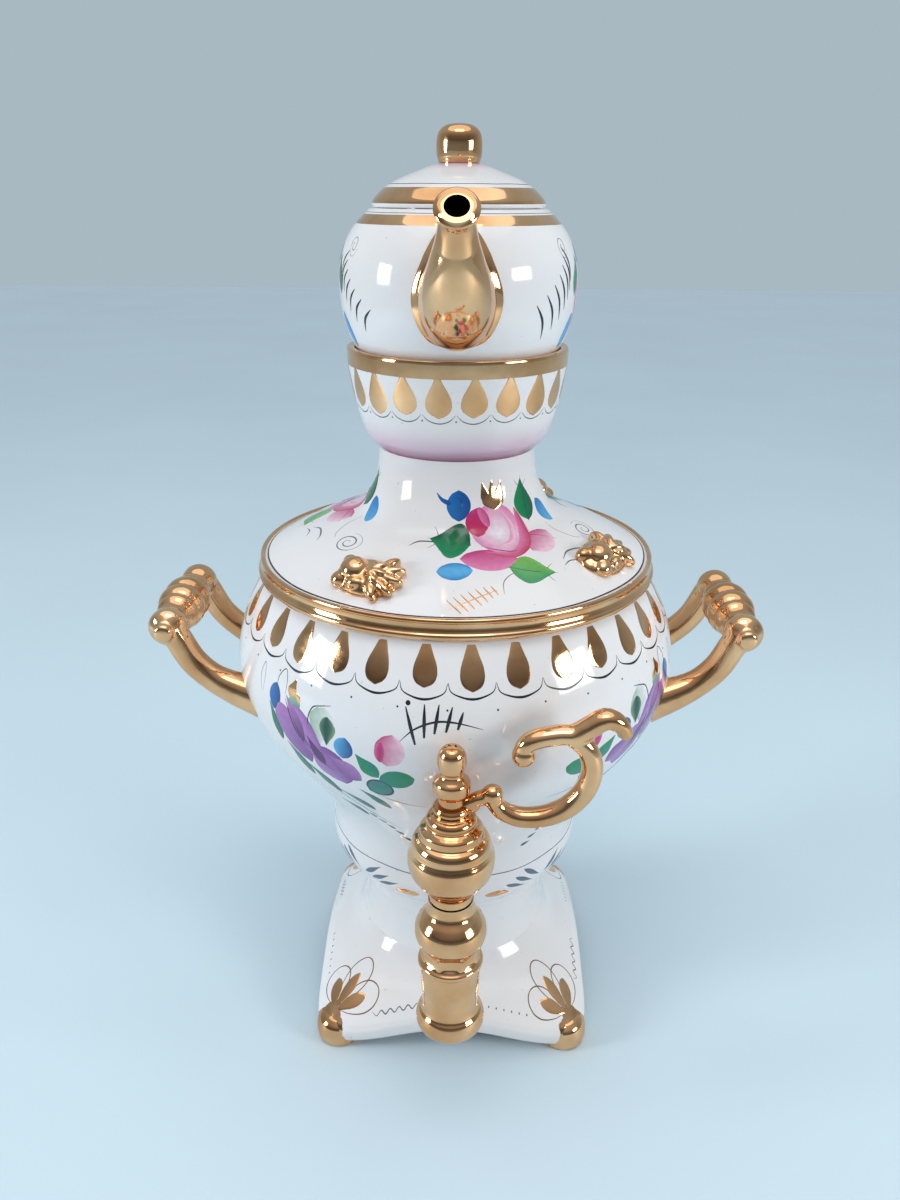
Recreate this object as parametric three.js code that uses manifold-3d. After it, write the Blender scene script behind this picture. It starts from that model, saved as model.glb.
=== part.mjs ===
// Porcelain samovar (tea urn) with a small teapot standing in the gallery of its lid.
// Millimetres, +Z up. The origin is on the floor, in the middle of the whole piece's outline.
// -Y is the front, where the tap is. The urn's own axis stands axisBack behind the origin.
import * as THREE from 'three';
import { mergeVertices } from 'three/addons/utils/BufferGeometryUtils.js';
import Module from 'manifold-3d';

const wasm = await Module();
wasm.setup();

// ---- driving dimensions ----
const gap = 0.3;               // clear space between neighbouring pieces
const roundSteps = 28;         // facets round the big thrown pieces
const smallSteps = 12;         // facets round the small turned pieces
const tubeSides = 8;

const baseHalf = 65;           // half the width of the square base
const cornerDrop = 9.5;        // how far the base's corners hang below its mid-sides
const squareness = 8;          // exponent of the rounded square
const footRadius = 11;
const footInset = 53.5;        // each foot's distance from the axis along X and along Y
const footHeight = 14.5;

const stemRadius = 44;         // where the stem stands on the base
const stemFloor = 40.5;
const cuspRadius = 57;         // where the vessel meets the cup of the stem
const cuspHeight = 97.5;
const vesselRadius = 97.4;
const vesselRimHeight = 223.2;
const mouthRadius = 79.5;
const vesselWall = 4.5;

const lidRimRadius = 86.4;
const lidRimHeight = 231.5;
const neckRadius = 33;
const neckTop = 277.4;
const lidWall = 4;
const galleryRadius = 45;
const galleryTop = 318;
const galleryWall = 3;
const ventRadius = 9;          // steam passage up the neck to the teapot

const teapotRadius = 47.3;
const teapotFloor = 282.5;
const teapotTop = 370;
const teapotWall = 3;
const teapotMouth = 31;
const totalHeight = 400;

const gripX = 124;             // grip bar's distance from the axis
const gripHeight = 202;
const gripBallY = 28;          // end balls, to the front and to the back
const gripBallRadius = 6.8;
const gripBarrelRadius = 10.4;
const armRadius = 6;
const armRootRadius = 9.5;

const tapOut = 105;            // tap's upright axis, in front of the urn's axis
const tapSeam = 124.4;         // where the turning key sits on the barrel
const keyRadius = 16.7;
const shankHeight = 110;
const shankRadius = 7.5;
const flangeRadius = 10.5;
const waterway = 3.2;

const bossRing = 69;           // the relief bosses' distance from the axis
const bossAngles = [-29, 60, 151];   // degrees from the front, towards +X

const axisBack = (tapOut + keyRadius - vesselRadius) / 2;

// ---- colours ----
const finish = {
  porcelain: { color: 0xf1f1f4, roughness: 0.12, metalness: 0 },
  gold: { color: 0xb98a3a, roughness: 0.14, metalness: 1 },
};

// ---- helpers ----

// A closed geometry with shared corners, no empty triangles and its faces pointing out.
function closed(geometry) {
  geometry.deleteAttribute('normal');
  geometry.deleteAttribute('uv');
  const merged = mergeVertices(geometry, 1e-3);
  const place = merged.attributes.position;
  const faces = [];
  const corner = [new THREE.Vector3(), new THREE.Vector3(), new THREE.Vector3()];
  let volume = 0;
  for (let i = 0; i < merged.index.count; i += 3) {
    const [a, b, c] = [0, 1, 2].map((k) => merged.index.getX(i + k));
    if (a === b || b === c || c === a) continue;
    faces.push([a, b, c]);
    [a, b, c].forEach((v, k) => corner[k].fromBufferAttribute(place, v));
    volume += corner[0].dot(corner[1].cross(corner[2]));
  }
  const order = volume < 0 ? faces.map(([a, b, c]) => [a, c, b]) : faces;
  merged.setIndex(order.flat());
  return merged;
}

function toSolid(geometry) {
  const shape = closed(geometry);
  return new wasm.Manifold(new wasm.Mesh({
    numProp: 3,
    vertProperties: new Float32Array(shape.attributes.position.array),
    triVerts: new Uint32Array(shape.index.array),
  }));
}

function fromSolid(solid) {
  const mesh = solid.getMesh();
  const geometry = new THREE.BufferGeometry();
  const corners = new Float32Array(mesh.numVert * 3);
  for (let i = 0; i < mesh.numVert; i += 1) {
    for (let k = 0; k < 3; k += 1) corners[i * 3 + k] = mesh.vertProperties[i * mesh.numProp + k];
  }
  geometry.setAttribute('position', new THREE.BufferAttribute(corners, 3));
  geometry.setIndex(Array.from(mesh.triVerts));
  return geometry;
}

function cut(geometry, ...tools) {
  let solid = toSolid(geometry);
  tools.forEach((tool) => { solid = solid.subtract(toSolid(tool)); });
  return fromSolid(solid);
}

function join(geometries) {
  return fromSolid(geometries.map(toSolid).reduce((all, next) => all.add(next)));
}

// Points [radius, height] smoothed into an outline.
function smooth(points, steps) {
  const curve = new THREE.SplineCurve(points.map(([r, z]) => new THREE.Vector2(r, z)));
  return curve.getPoints(steps).map((p) => [p.x, p.y]);
}

// The outline moved sideways; a positive distance is to the right of its direction.
function parallel(points, distance) {
  return points.map(([r, z], i) => {
    const [ra, za] = points[Math.max(i - 1, 0)];
    const [rb, zb] = points[Math.min(i + 1, points.length - 1)];
    const length = Math.hypot(rb - ra, zb - za);
    return [r + distance * (zb - za) / length, z - distance * (rb - ra) / length];
  });
}

// A turned piece about +Z.
function turned(outline, steps = roundSteps) {
  const points = outline.map(([r, z]) => new THREE.Vector2(Math.max(r, 0), z));
  return new THREE.LatheGeometry(points, steps).rotateX(Math.PI / 2);
}

// A turned piece that is open inside: its outline closes on itself.
function turnedRing(outline, steps = roundSteps) {
  return turned([...outline, outline[0]], steps);
}

// A round bar along a curve in an upright plane, with its radius given along it.
function bar(points, radiusAt, steps, sides = tubeSides, squash = 1) {
  const curve = new THREE.CatmullRomCurve3(points.map((p) => new THREE.Vector3(...p)));
  const geometry = new THREE.CylinderGeometry(1, 1, 1, sides, steps);
  const place = geometry.attributes.position;
  const ends = curve.getPoint(1).sub(curve.getPoint(0));
  const bend = curve.getPoint(0.5).sub(curve.getPoint(0));
  const across = new THREE.Vector3().crossVectors(ends, bend).normalize();
  for (let i = 0; i < place.count; i += 1) {
    const t = Math.min(Math.max(place.getY(i) + 0.5, 0), 1);
    const along = curve.getTangent(t);
    const side = across.clone().addScaledVector(along, -across.dot(along)).normalize();
    const rise = new THREE.Vector3().crossVectors(along, side);
    const spot = curve.getPoint(t);
    spot.addScaledVector(side, place.getX(i) * radiusAt(t) * squash);
    spot.addScaledVector(rise, place.getZ(i) * radiusAt(t));
    place.setXYZ(i, spot.x, spot.y, spot.z);
  }
  return geometry;
}

function ball(x, y, z, radius, sides = 10, stretch = [1, 1, 1]) {
  const geometry = new THREE.SphereGeometry(radius, sides, Math.round(sides * 0.7));
  return geometry.scale(...stretch).translate(x, y, z);
}

function rod(radius, length, sides = 16) {
  return new THREE.CylinderGeometry(radius, radius, length, sides);
}

const urn = new THREE.Group();
urn.position.set(0, axisBack, 0);

function add(name, geometry, look) {
  const mesh = new THREE.Mesh(closed(geometry), new THREE.MeshStandardMaterial({ ...finish[look] }));
  mesh.name = name;
  urn.add(mesh);
}

// ---- pedestal: square base with drooping corners, four feet, stem ----

const baseTopLine = smooth([[stemRadius, 40], [50, 37], [56, 32], [61, 26.5], [baseHalf, 20.5]], 6);
const baseUnderLine = smooth([[62, 13], [56, 20], [48, 27.5], [36, 33]], 4);

// Pulls a round dish out to a rounded square whose corners hang down.
function squareOff(geometry) {
  const place = geometry.attributes.position;
  for (let i = 0; i < place.count; i += 1) {
    const [x, y] = [place.getX(i), place.getY(i)];
    const r = Math.hypot(x, y);
    if (r < stemRadius) continue;
    const angle = Math.atan2(y, x);
    const t = Math.min((r - stemRadius) / (baseHalf - stemRadius), 1);
    const sum = Math.abs(Math.cos(angle)) ** squareness + Math.abs(Math.sin(angle)) ** squareness;
    const pull = 1 + (sum ** (-1 / squareness) - 1) * t;
    const drop = cornerDrop * Math.abs(Math.sin(2 * angle)) ** 2.3 * t ** 1.6;
    place.setXYZ(i, x * pull, y * pull, place.getZ(i) - drop);
  }
  return geometry;
}

const baseOutline = [[0, 40], ...baseTopLine, [baseHalf - 0.5, 13], ...baseUnderLine, [0, 34]];

// A foot is a low turned knob, let into the base's corner.
function footAt(sideX, sideY, growth = 0) {
  const side = smooth([[footRadius - 2.5, 0], [footRadius - 0.3, 2.5], [footRadius, 7],
    [footRadius - 2.5, 12.5]], 5).map(([r, z]) => [r + growth, z]);
  const outline = [[0, 0], ...side, [0, footHeight + growth]];
  return turned(outline, 12).translate(sideX * footInset, sideY * footInset, 0);
}
const corners = [['front_left', -1, -1], ['front_right', 1, -1], ['rear_left', -1, 1], ['rear_right', 1, 1]];
const footBeds = corners.map(([, sideX, sideY]) => footAt(sideX, sideY, gap));
add('base', cut(squareOff(turned(baseOutline, 32)), ...footBeds), 'porcelain');
corners.forEach(([name, sideX, sideY]) => add(`foot_${name}`, footAt(sideX, sideY), 'gold'));

const stemLine = smooth([[stemRadius, stemFloor], [43.3, 50], [43.8, 62], [47.5, 76], [56, 84.5],
  [59.6, 90.5], [cuspRadius, cuspHeight - gap]], 9);
add('stem', turnedRing([...stemLine, ...parallel(stemLine, -5).reverse()]), 'porcelain');

// ---- vessel ----

const vesselLine = smooth([[cuspRadius, cuspHeight], [59.3, 109], [65.6, 122], [76.5, 138], [87.2, 153],
  [93.7, 166], [97, 178], [vesselRadius, 188], [95.8, 198], [92.5, 207], [88, 216], [84.3, 222]], 13);
const tankLine = parallel(vesselLine, -vesselWall).filter(([, z]) => z > 104 && z < 217);
const vesselOutline = [[0, cuspHeight], ...vesselLine, [83, vesselRimHeight], [mouthRadius, vesselRimHeight],
  ...tankLine.reverse(), [52, 103], [0, 103]];
const outlet = rod(waterway, 30).translate(0, -cuspRadius, shankHeight);
add('vessel', cut(turned(vesselOutline), outlet), 'porcelain');

// The vessel's outside as a plain solid, grown by the gap, to trim what is fixed to it.
const vesselTrim = [[0, cuspHeight], ...parallel(vesselLine, gap), [0, vesselRimHeight]];

// ---- side handles: two arms and a turned grip on each side ----

function arm(sideX, sideY) {
  const y = sideY * gripBallY;
  const route = [[86, y, 170], [96, y, 173.5], [106, y, 178.5], [114, y, 186.5], [119.5, y, 196]];
  const flare = (t) => armRadius + (armRootRadius - armRadius) * Math.max(1 - t * 2.2, 0) ** 1.5;
  return bar(route.map(([x, py, z]) => [sideX * x, py, z]), flare, 8);
}

function gripOutline() {
  const half = smooth([[gripBarrelRadius - 0.8, 0], [gripBarrelRadius, 4], [gripBarrelRadius - 1, 11],
    [7.4, 17], [5.8, 20], [gripBallRadius, 25], [gripBallRadius - 0.2, 31], [3, 35]], 10);
  const lower = half.slice(1).map(([r, z]) => [r, -z]).reverse();
  return [[0, -36.5], ...lower, ...half, [0, 36.5]];
}

function gripAt(sideX, growth = 0) {
  const grown = gripOutline().map(([r, z]) => [r > 0 ? r + growth : 0, z]);
  return turned(grown, smallSteps).rotateX(Math.PI / 2).translate(sideX * gripX, 0, gripHeight);
}

for (const [side, sideX] of [['left', -1], ['right', 1]]) {
  add(`handle_grip_${side}`, gripAt(sideX), 'gold');
  for (const [end, sideY] of [['front', -1], ['rear', 1]]) {
    const trimmed = cut(arm(sideX, sideY), turned(vesselTrim), gripAt(sideX, gap));
    add(`handle_arm_${end}_${side}`, trimmed, 'gold');
  }
}

// ---- tap: flange, shank, upright barrel, and the key that turns in it ----

function atTap(geometry) {
  return geometry.translate(0, -tapOut, 0);
}

const tapFoot = 60;
const barrelLine = smooth([[7.6, tapFoot], [12.6, 61.8], [13.7, 65.5], [11.4, 74], [11.2, 83.4], [12.4, 86],
  [10.9, 90], [10.9, 99], [14.2, 108], [11.7, 115], [9.3, 119], [9.4, 124]], 16);
const boreTop = 6.2;
const boreFoot = 5;
const barrelBore = [[0, 50], [boreFoot, 50], [boreTop, 125], [0, 125]];

const sidePort = rod(waterway, 24).translate(0, 12 - tapOut, shankHeight);
const barrelSolid = [[0, tapFoot], ...barrelLine, [0, 124]];
add('tap_barrel', cut(atTap(turned(barrelSolid, smallSteps)),
  atTap(turned(barrelBore, smallSteps)), sidePort), 'gold');

const plugTop = boreTop - gap;
const plugFoot = boreFoot - gap + 0.1;
const plugOutline = [[0, 112], [waterway, 112], [waterway, 66], [plugFoot, 66], [plugTop, 124], [0, 124]];
const plugPort = rod(waterway - 0.4, 8, 12).rotateZ(Math.PI / 2).translate(-5, -tapOut, shankHeight);
add('tap_plug', cut(atTap(turned(plugOutline, smallSteps)), plugPort), 'porcelain');

const keyLine = smooth([[9.3, tapSeam], [14.6, 132], [keyRadius, 140], [16.4, 147], [11.8, 151.5],
  [11.4, 154.5], [9, 157], [9.2, 160], [6.5, 163.5], [5.6, 167]], 12);
add('tap_key', atTap(turned([[0, tapSeam], ...keyLine, [0, 167]], smallSteps)), 'gold');

const finialLine = smooth([[5.4, 167.3], [5.5, 171], [7, 174], [6.8, 177.5], [4.2, 180.3], [5.3, 185],
  [3.9, 190]], 8);
add('tap_finial', atTap(turned([[0, 167.3], ...finialLine, [0, 191.5]], smallSteps)), 'gold');

// The lever stands out to +X: a small curl, a C-shaped arm and a wavy top arm with a ball end.
function lever() {
  const lowerArm = bar([[4, 0, 166], [12, 0, 168.5], [19, 0, 163], [34, 0, 161.5], [47, 0, 171],
    [51, 0, 185], [45, 0, 196]], (t) => 2.4 + 1.6 * Math.min(t * 3, 1), 13, 6);
  const topArm = bar([[26, 0, 188], [30, 0, 194], [38, 0, 196.5], [46, 0, 197], [55, 0, 203],
    [62.5, 0, 196]], (t) => 3.8 - 1.2 * t, 10, 6, 1.2);
  return join([lowerArm, topArm, ball(26, 0, 188, 4.4, 8), ball(15.5, 0, 170.5, 4.2, 8)]);
}
const finialTrim = turned([[0, 100], ...parallel(keyLine, gap), ...parallel(finialLine, gap), [0, 192]], 16);
add('tap_lever', atTap(cut(lever(), finialTrim)), 'gold');

const barrelTrim = atTap(turned([[0, 50], ...parallel(barrelLine, gap), [0, 130]], smallSteps));
const shankLength = tapOut - 50;
const shankMiddle = -50 - shankLength / 2;
const shankBore = rod(waterway, 120).translate(0, shankMiddle, shankHeight);
function aroundShank(radius, from, to) {
  return rod(radius, to - from).translate(0, -(from + to) / 2, shankHeight);
}
add('tap_shank', cut(aroundShank(shankRadius, 50, tapOut), turned(vesselTrim), barrelTrim, shankBore), 'gold');
add('tap_flange', cut(aroundShank(flangeRadius, 52, 64.5), turned(vesselTrim),
  aroundShank(shankRadius + gap, 40, 90)), 'gold');

// ---- urn lid: shoulder and neck, gallery cup, relief bosses ----

const shoulderLine = smooth([[80.5, 232.5], [66, 240], [52, 246], [42, 250.5], [37.2, 258], [34.3, 265],
  [33.1, 272], [neckRadius, neckTop]], 12);
const rimLine = smooth([[84.4, 223.6], [lidRimRadius, 226], [lidRimRadius, 229], [84.5, lidRimHeight]], 4);
const underShoulder = parallel(shoulderLine, -lidWall).filter(([r]) => r < 76).reverse();
const flangeLine = [[76, 214], [78.8, 214], [78.8, 223.6]];
add('lid', turnedRing([...rimLine, ...shoulderLine, ...underShoulder, ...flangeLine]), 'porcelain');

const galleryLine = smooth([[neckRadius + 0.5, neckTop + gap], [38.3, 283.5], [41.7, 294],
  [43.3, 301], [44.3, 307], [galleryRadius, 312], [galleryRadius, galleryTop]], 7);
const galleryFloor = 282;
const galleryInside = parallel(galleryLine, -galleryWall).filter(([, z]) => z > galleryFloor + 3).reverse();
add('gallery_cup', turnedRing([...galleryLine, ...galleryInside, [33.5, galleryFloor],
  [ventRadius, galleryFloor], [ventRadius, neckTop + gap]]), 'porcelain');

// Raised flower: a low mound with four petals round a button.
function boss(angle) {
  const petals = [0, 1, 2, 3].map((k) => {
    const turn = k * Math.PI / 2 + 0.5;
    return ball(10 * Math.cos(turn), 5.5 * Math.sin(turn), 3.5, 5.4, 6, [1.15, 0.85, 1]);
  });
  const shape = join([ball(0, 0, 0, 9, 8, [1.6, 1, 0.75]), ball(0, 0, 5.5, 4.4, 6), ...petals]);
  const turn = THREE.MathUtils.degToRad(angle);
  shape.rotateX(Math.atan2(7, 14)).translate(0, -bossRing, 238.5).rotateZ(turn);
  const bed = turned([[0, 200], [90, 200], [84, 231], ...parallel(shoulderLine, gap), [0, neckTop]]);
  return cut(shape, bed);
}
bossAngles.forEach((angle, i) => add(`lid_boss_${i + 1}`, boss(angle), 'gold'));

// ---- teapot: body, spout, handle, lid, knob ----

const teapotLine = smooth([[30, teapotFloor], [31.8, 289], [34.5, 300], [38.5, 312], [43.6, 322], [46.3, 331],
  [teapotRadius, 342], [46.9, 350], [44.8, 357], [41.4, 363], [35.8, 369]], 11);
const teapotInside = parallel(teapotLine, -teapotWall).filter(([r, z]) => z > 291 && r > teapotMouth + 2);
const teapotOutline = [[0, teapotFloor + 3], [24, teapotFloor + 3], [25.5, teapotFloor], ...teapotLine,
  [34.3, teapotTop], [teapotMouth, teapotTop], ...teapotInside.reverse(), [26, 289], [0, 289]];

const spoutRoute = [[0, -41, 337], [0, -50, 341], [0, -60.5, 349], [0, -66.5, 359.5], [0, -71, 367],
  [0, -76.5, 371.6]];
const spoutNeck = 6.8;
const spoutBelly = 8.4;        // how much wider the root is than the neck
const spoutRadius = (t) => spoutNeck + spoutBelly * (1 - Math.min(t / 0.85, 1) ** 2) ** 1.3;
const spoutBore = (t) => 4.6 + 6 * (1 - t) ** 1.4;
const spoutHollow = () => bar([[0, -37, 336], ...spoutRoute.slice(1), [0, -81, 375]], spoutBore, 10, 10);
const strainer = [-1, 0, 1].flatMap((row) => [-1, 0, 1].map((column) => (
  rod(1.4, 12, 6).translate(column * 4.6, -46, 339 + row * 4.6))));
add('teapot_body', cut(turned(teapotOutline), ...strainer), 'porcelain');

const teapotTrim = turned([[0, teapotFloor], ...parallel(teapotLine, gap), [0, teapotTop]]);
const galleryTrim = turned([[0, 270], [galleryRadius + 0.6, 270], [galleryRadius + 0.6, 320], [0, 320]]);
const spoutShape = bar(spoutRoute, spoutRadius, 10, 14);
add('teapot_spout', cut(spoutShape, teapotTrim, galleryTrim, spoutHollow()), 'gold');

const loopRoute = [[0, 40, 358], [0, 58, 364], [0, 74, 359], [0, 80, 345], [0, 72, 332], [0, 42, 326]];
add('teapot_handle', cut(bar(loopRoute, () => 4, 14), teapotTrim), 'gold');

const coverLine = smooth([[33.9, 371.6], [31.5, 374.9], [28.4, 377.6], [23.3, 380.4], [16, 383.2],
  [8.5, 385.8]], 6);
const coverUnder = parallel(coverLine, -teapotWall).filter(([r]) => r < 26.5).reverse();
add('teapot_lid', turned([[0, 386], ...coverLine.reverse(), [33.5, teapotTop + gap], [29.8, teapotTop + gap],
  [29.8, 362], [27.2, 362], [27.2, 372.5], ...coverUnder.reverse(), [0, 382.6]], 24), 'porcelain');

const knobLine = smooth([[7.4, 386.3], [8.9, 389], [8.3, 394], [6.6, 397.6], [3, 399.7]], 6);
add('teapot_lid_knob', turned([[0, 386.3], ...knobLine, [0, totalHeight]], smallSteps), 'gold');

const samovar = new THREE.Group();
samovar.add(urn);

export default samovar;
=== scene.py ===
import math
import bmesh
import bpy
import numpy as np
from mathutils import Matrix, Vector


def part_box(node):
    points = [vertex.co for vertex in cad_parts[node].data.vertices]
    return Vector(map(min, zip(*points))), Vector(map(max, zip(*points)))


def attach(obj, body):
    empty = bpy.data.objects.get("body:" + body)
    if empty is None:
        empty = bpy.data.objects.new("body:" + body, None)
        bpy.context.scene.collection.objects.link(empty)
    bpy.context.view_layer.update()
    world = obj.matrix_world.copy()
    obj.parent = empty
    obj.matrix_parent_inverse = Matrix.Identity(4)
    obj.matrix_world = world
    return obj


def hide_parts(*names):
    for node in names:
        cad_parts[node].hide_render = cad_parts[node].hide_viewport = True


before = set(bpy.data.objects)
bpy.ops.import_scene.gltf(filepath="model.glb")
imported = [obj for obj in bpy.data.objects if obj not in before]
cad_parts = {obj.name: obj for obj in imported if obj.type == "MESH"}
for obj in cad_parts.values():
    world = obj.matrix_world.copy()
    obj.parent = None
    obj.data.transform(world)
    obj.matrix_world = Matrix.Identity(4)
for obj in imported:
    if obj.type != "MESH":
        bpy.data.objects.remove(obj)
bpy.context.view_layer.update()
scene = bpy.context.scene
mm = 0.001  # every drawing dimension below is in millimetres
print("frame loaded,", len(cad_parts), "CAD nodes")


def axisOf(node):
    low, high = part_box(node)
    middle = (low + high) / 2 / mm
    return middle.x, middle.y


urnAxis = axisOf("vessel")
tapAxis = axisOf("tap_key")


# drawing helpers

def smooth(points, steps):
    # a soft curve through every point
    knots = np.array(points, float)
    if knots.ndim == 1:
        knots = knots[:, None]
    place = np.linspace(0, len(knots) - 1, steps + 1)
    i = np.minimum(place.astype(int), len(knots) - 2)
    t = (place - i)[:, None]
    a, b = knots[np.maximum(i - 1, 0)], knots[i]
    c, d = knots[i + 1], knots[np.minimum(i + 2, len(knots) - 1)]
    bend = (-a + c) * t + (2 * a - 5 * b + 4 * c - d) * t ** 2 + (-a + 3 * b - 3 * c + d) * t ** 3
    return b + bend / 2


def parallel(line, distance):
    # the outline moved sideways, to the right of its direction when positive
    way = np.gradient(np.array(line, float), axis=0)
    way /= np.linalg.norm(way, axis=1)[:, None]
    return line + distance * np.stack([way[:, 1], -way[:, 0]], 1)


def build(name, corners, faces, sharp=38):
    mesh = bpy.data.meshes.new(name)
    mesh.from_pydata((np.array(corners) * mm).tolist(), [], faces)
    solid = bmesh.new()
    solid.from_mesh(mesh)
    bmesh.ops.recalc_face_normals(solid, faces=solid.faces)
    solid.to_mesh(mesh)
    solid.free()
    mesh.polygons.foreach_set("use_smooth", [True] * len(mesh.polygons))
    mesh.set_sharp_from_angle(angle=math.radians(sharp))
    piece = bpy.data.objects.new(name, mesh)
    scene.collection.objects.link(piece)
    return piece


def together(parts):
    corners, faces = [], []
    for partCorners, partFaces in parts:
        start = len(corners)
        corners.extend(np.array(partCorners).tolist())
        faces.extend([tuple(start + k for k in face) for face in partFaces])
    return corners, faces


def strip(a, b, sides):
    # the quads between two rings of corners, one starting at a and the other at b
    return [(a + k, b + k, b + (k + 1) % sides, a + (k + 1) % sides) for k in range(sides)]


def turned(outline, axis=urnAxis, sides=240, wrap=True, ripple=None):
    # an outline of (radius, height) turned round an upright axis
    corners, faces, rings = [], [], []
    angles = np.linspace(0, 2 * math.pi, sides, endpoint=False)
    for r, z in outline:
        rings.append((len(corners), r < 1e-6))
        if r < 1e-6:
            corners.append((axis[0], axis[1], z))
            continue
        reach = r * (ripple(angles, z) if ripple else 1) * np.ones(sides)
        corners.extend(zip(axis[0] + reach * np.cos(angles), axis[1] + reach * np.sin(angles), [z] * sides))
    for (a, aOnAxis), (b, bOnAxis) in zip(rings, rings[1:] + rings[:1] * wrap):
        if aOnAxis and not bOnAxis:
            faces.extend([(a, b + k, b + (k + 1) % sides) for k in range(sides)])
        elif bOnAxis and not aOnAxis:
            faces.extend([(a + k, b, a + (k + 1) % sides) for k in range(sides)])
        elif not aOnAxis:
            faces.extend(strip(a, b, sides))
    return corners, faces


def swept(route, radii, across, sides=32, squash=1.0, bore=None):
    # a bar along a route that lies in the plane square to across; bore makes it a pipe
    route = np.array(route, float)
    way = np.gradient(route, axis=0)
    way /= np.linalg.norm(way, axis=1)[:, None]
    side = np.array(across, float) - way * (way @ np.array(across, float))[:, None]
    side /= np.linalg.norm(side, axis=1)[:, None]
    rise = np.cross(way, side)
    turn = np.linspace(0, 2 * math.pi, sides, endpoint=False)
    squash = np.ones(len(route)) * squash

    def ring(i, radius):
        return (route[i] + radius * (np.cos(turn)[:, None] * side[i] * squash[i]
                                     + np.sin(turn)[:, None] * rise[i])).tolist()

    corners, faces = [], []
    order = [(i, radii[i]) for i in range(len(route))]
    if bore is not None:
        order += [(i, bore[i]) for i in reversed(range(len(route)))]
    for i, radius in order:
        corners.extend(ring(i, radius))
    count = len(order)
    for n in range(count if bore is not None else count - 1):
        faces.extend(strip(n * sides, (n + 1) % count * sides, sides))
    if bore is None:
        for start, middle in ((0, route[0]), ((count - 1) * sides, route[-1])):
            hub = len(corners)
            corners.append(middle.tolist())
            faces.extend([(hub, start + k, start + (k + 1) % sides) for k in range(sides)])
    return corners, faces


def lump(centre, radii, turn=0.0, tilt=0.0, sides=22):
    # an oval lump, tilted about X and then turned about Z
    rings = sides // 2
    corners, faces = [(0, 0, 1), (0, 0, -1)], []
    for i in range(1, rings):
        rise = math.pi * i / rings
        for k in range(sides):
            swing = 2 * math.pi * k / sides
            corners.append((math.sin(rise) * math.cos(swing), math.sin(rise) * math.sin(swing),
                            math.cos(rise)))
    for k in range(sides):
        j = (k + 1) % sides
        faces.append((0, 2 + k, 2 + j))
        last = 2 + (rings - 2) * sides
        faces.append((1, last + j, last + k))
        for i in range(rings - 2):
            a, b = 2 + i * sides, 2 + (i + 1) * sides
            faces.append((a + k, b + k, b + j, a + j))
    matrix = Matrix.Rotation(turn, 3, "Z") @ Matrix.Rotation(tilt, 3, "X") @ Matrix.Diagonal(radii)
    return np.array(corners) @ np.array(matrix).T + np.array(centre), faces


def fused(name, parts, voxel, rounds):
    # melts overlapping parts into one casting with soft inside corners
    piece = build(name, *together(parts))
    melt = piece.modifiers.new("melt", "REMESH")
    melt.mode = "VOXEL"
    melt.voxel_size = voxel * mm
    soften = piece.modifiers.new("soften", "SMOOTH")
    soften.factor = 0.5
    soften.iterations = rounds
    finished = piece.evaluated_get(bpy.context.evaluated_depsgraph_get())
    mesh = bpy.data.meshes.new_from_object(finished)
    piece.modifiers.clear()
    piece.data = mesh
    mesh.name = name
    mesh.polygons.foreach_set("use_smooth", [True] * len(mesh.polygons))
    return piece


# colours and finishes

def tint(red, green, blue):
    # a mixed paint, 0 to 255 as a screen shows it, turned into light
    return tuple(((c / 255 + 0.055) / 1.055) ** 2.4 if c > 10 else c / 3295 for c in (red, green, blue))


paints = {
    "white": tint(232, 232, 238), "leaf": tint(24, 140, 88), "leafDark": tint(8, 78, 58),
    "leafLight": tint(120, 182, 78), "leafPale": tint(150, 182, 158), "sea": tint(36, 132, 120),
    "blue": tint(28, 112, 182), "deepBlue": tint(22, 72, 138), "sky": tint(86, 172, 222),
    "blush": tint(240, 206, 222), "pink": tint(222, 132, 178), "magenta": tint(186, 52, 118),
    "crimson": tint(186, 26, 72), "lilac": tint(172, 124, 190), "purple": tint(120, 72, 146),
    "plum": tint(88, 44, 104), "ink": tint(38, 40, 46), "greyInk": tint(104, 108, 116),
    "brown": tint(120, 84, 60), "slate": tint(92, 112, 142),
}


def material(name, metallic=0.0):
    made = bpy.data.materials.new(name)
    made.use_nodes = True
    shader = made.node_tree.nodes["Principled BSDF"]
    shader.inputs["Metallic"].default_value = metallic
    return made, made.node_tree, shader


def noise(tree, scale, detail=3.0):
    spread = tree.nodes.new("ShaderNodeTexNoise")
    spread.inputs["Scale"].default_value = scale
    spread.inputs["Detail"].default_value = detail
    where = tree.nodes.new("ShaderNodeTexCoord")
    tree.links.new(where.outputs["Object"], spread.inputs["Vector"])
    return spread.outputs["Fac"]


def ranged(tree, value, low, high, fromLow=0.3, fromHigh=0.7):
    band = tree.nodes.new("ShaderNodeMapRange")
    band.inputs["From Min"].default_value = fromLow
    band.inputs["From Max"].default_value = fromHigh
    band.inputs["To Min"].default_value = low
    band.inputs["To Max"].default_value = high
    tree.links.new(value, band.inputs["Value"])
    return band.outputs["Result"]


def blended(tree, factor, first, second, mode="MIX"):
    mix = tree.nodes.new("ShaderNodeMix")
    mix.data_type = "RGBA"
    mix.blend_type = mode
    for value, name in ((factor, "Factor"), (first, "A"), (second, "B")):
        socket = mix.inputs[name]
        if isinstance(value, (int, float)):
            socket.default_value = value
        elif isinstance(value, tuple):
            socket.default_value = (*value, 1)
        else:
            tree.links.new(value, socket)
    return mix.outputs["Result"]


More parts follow.
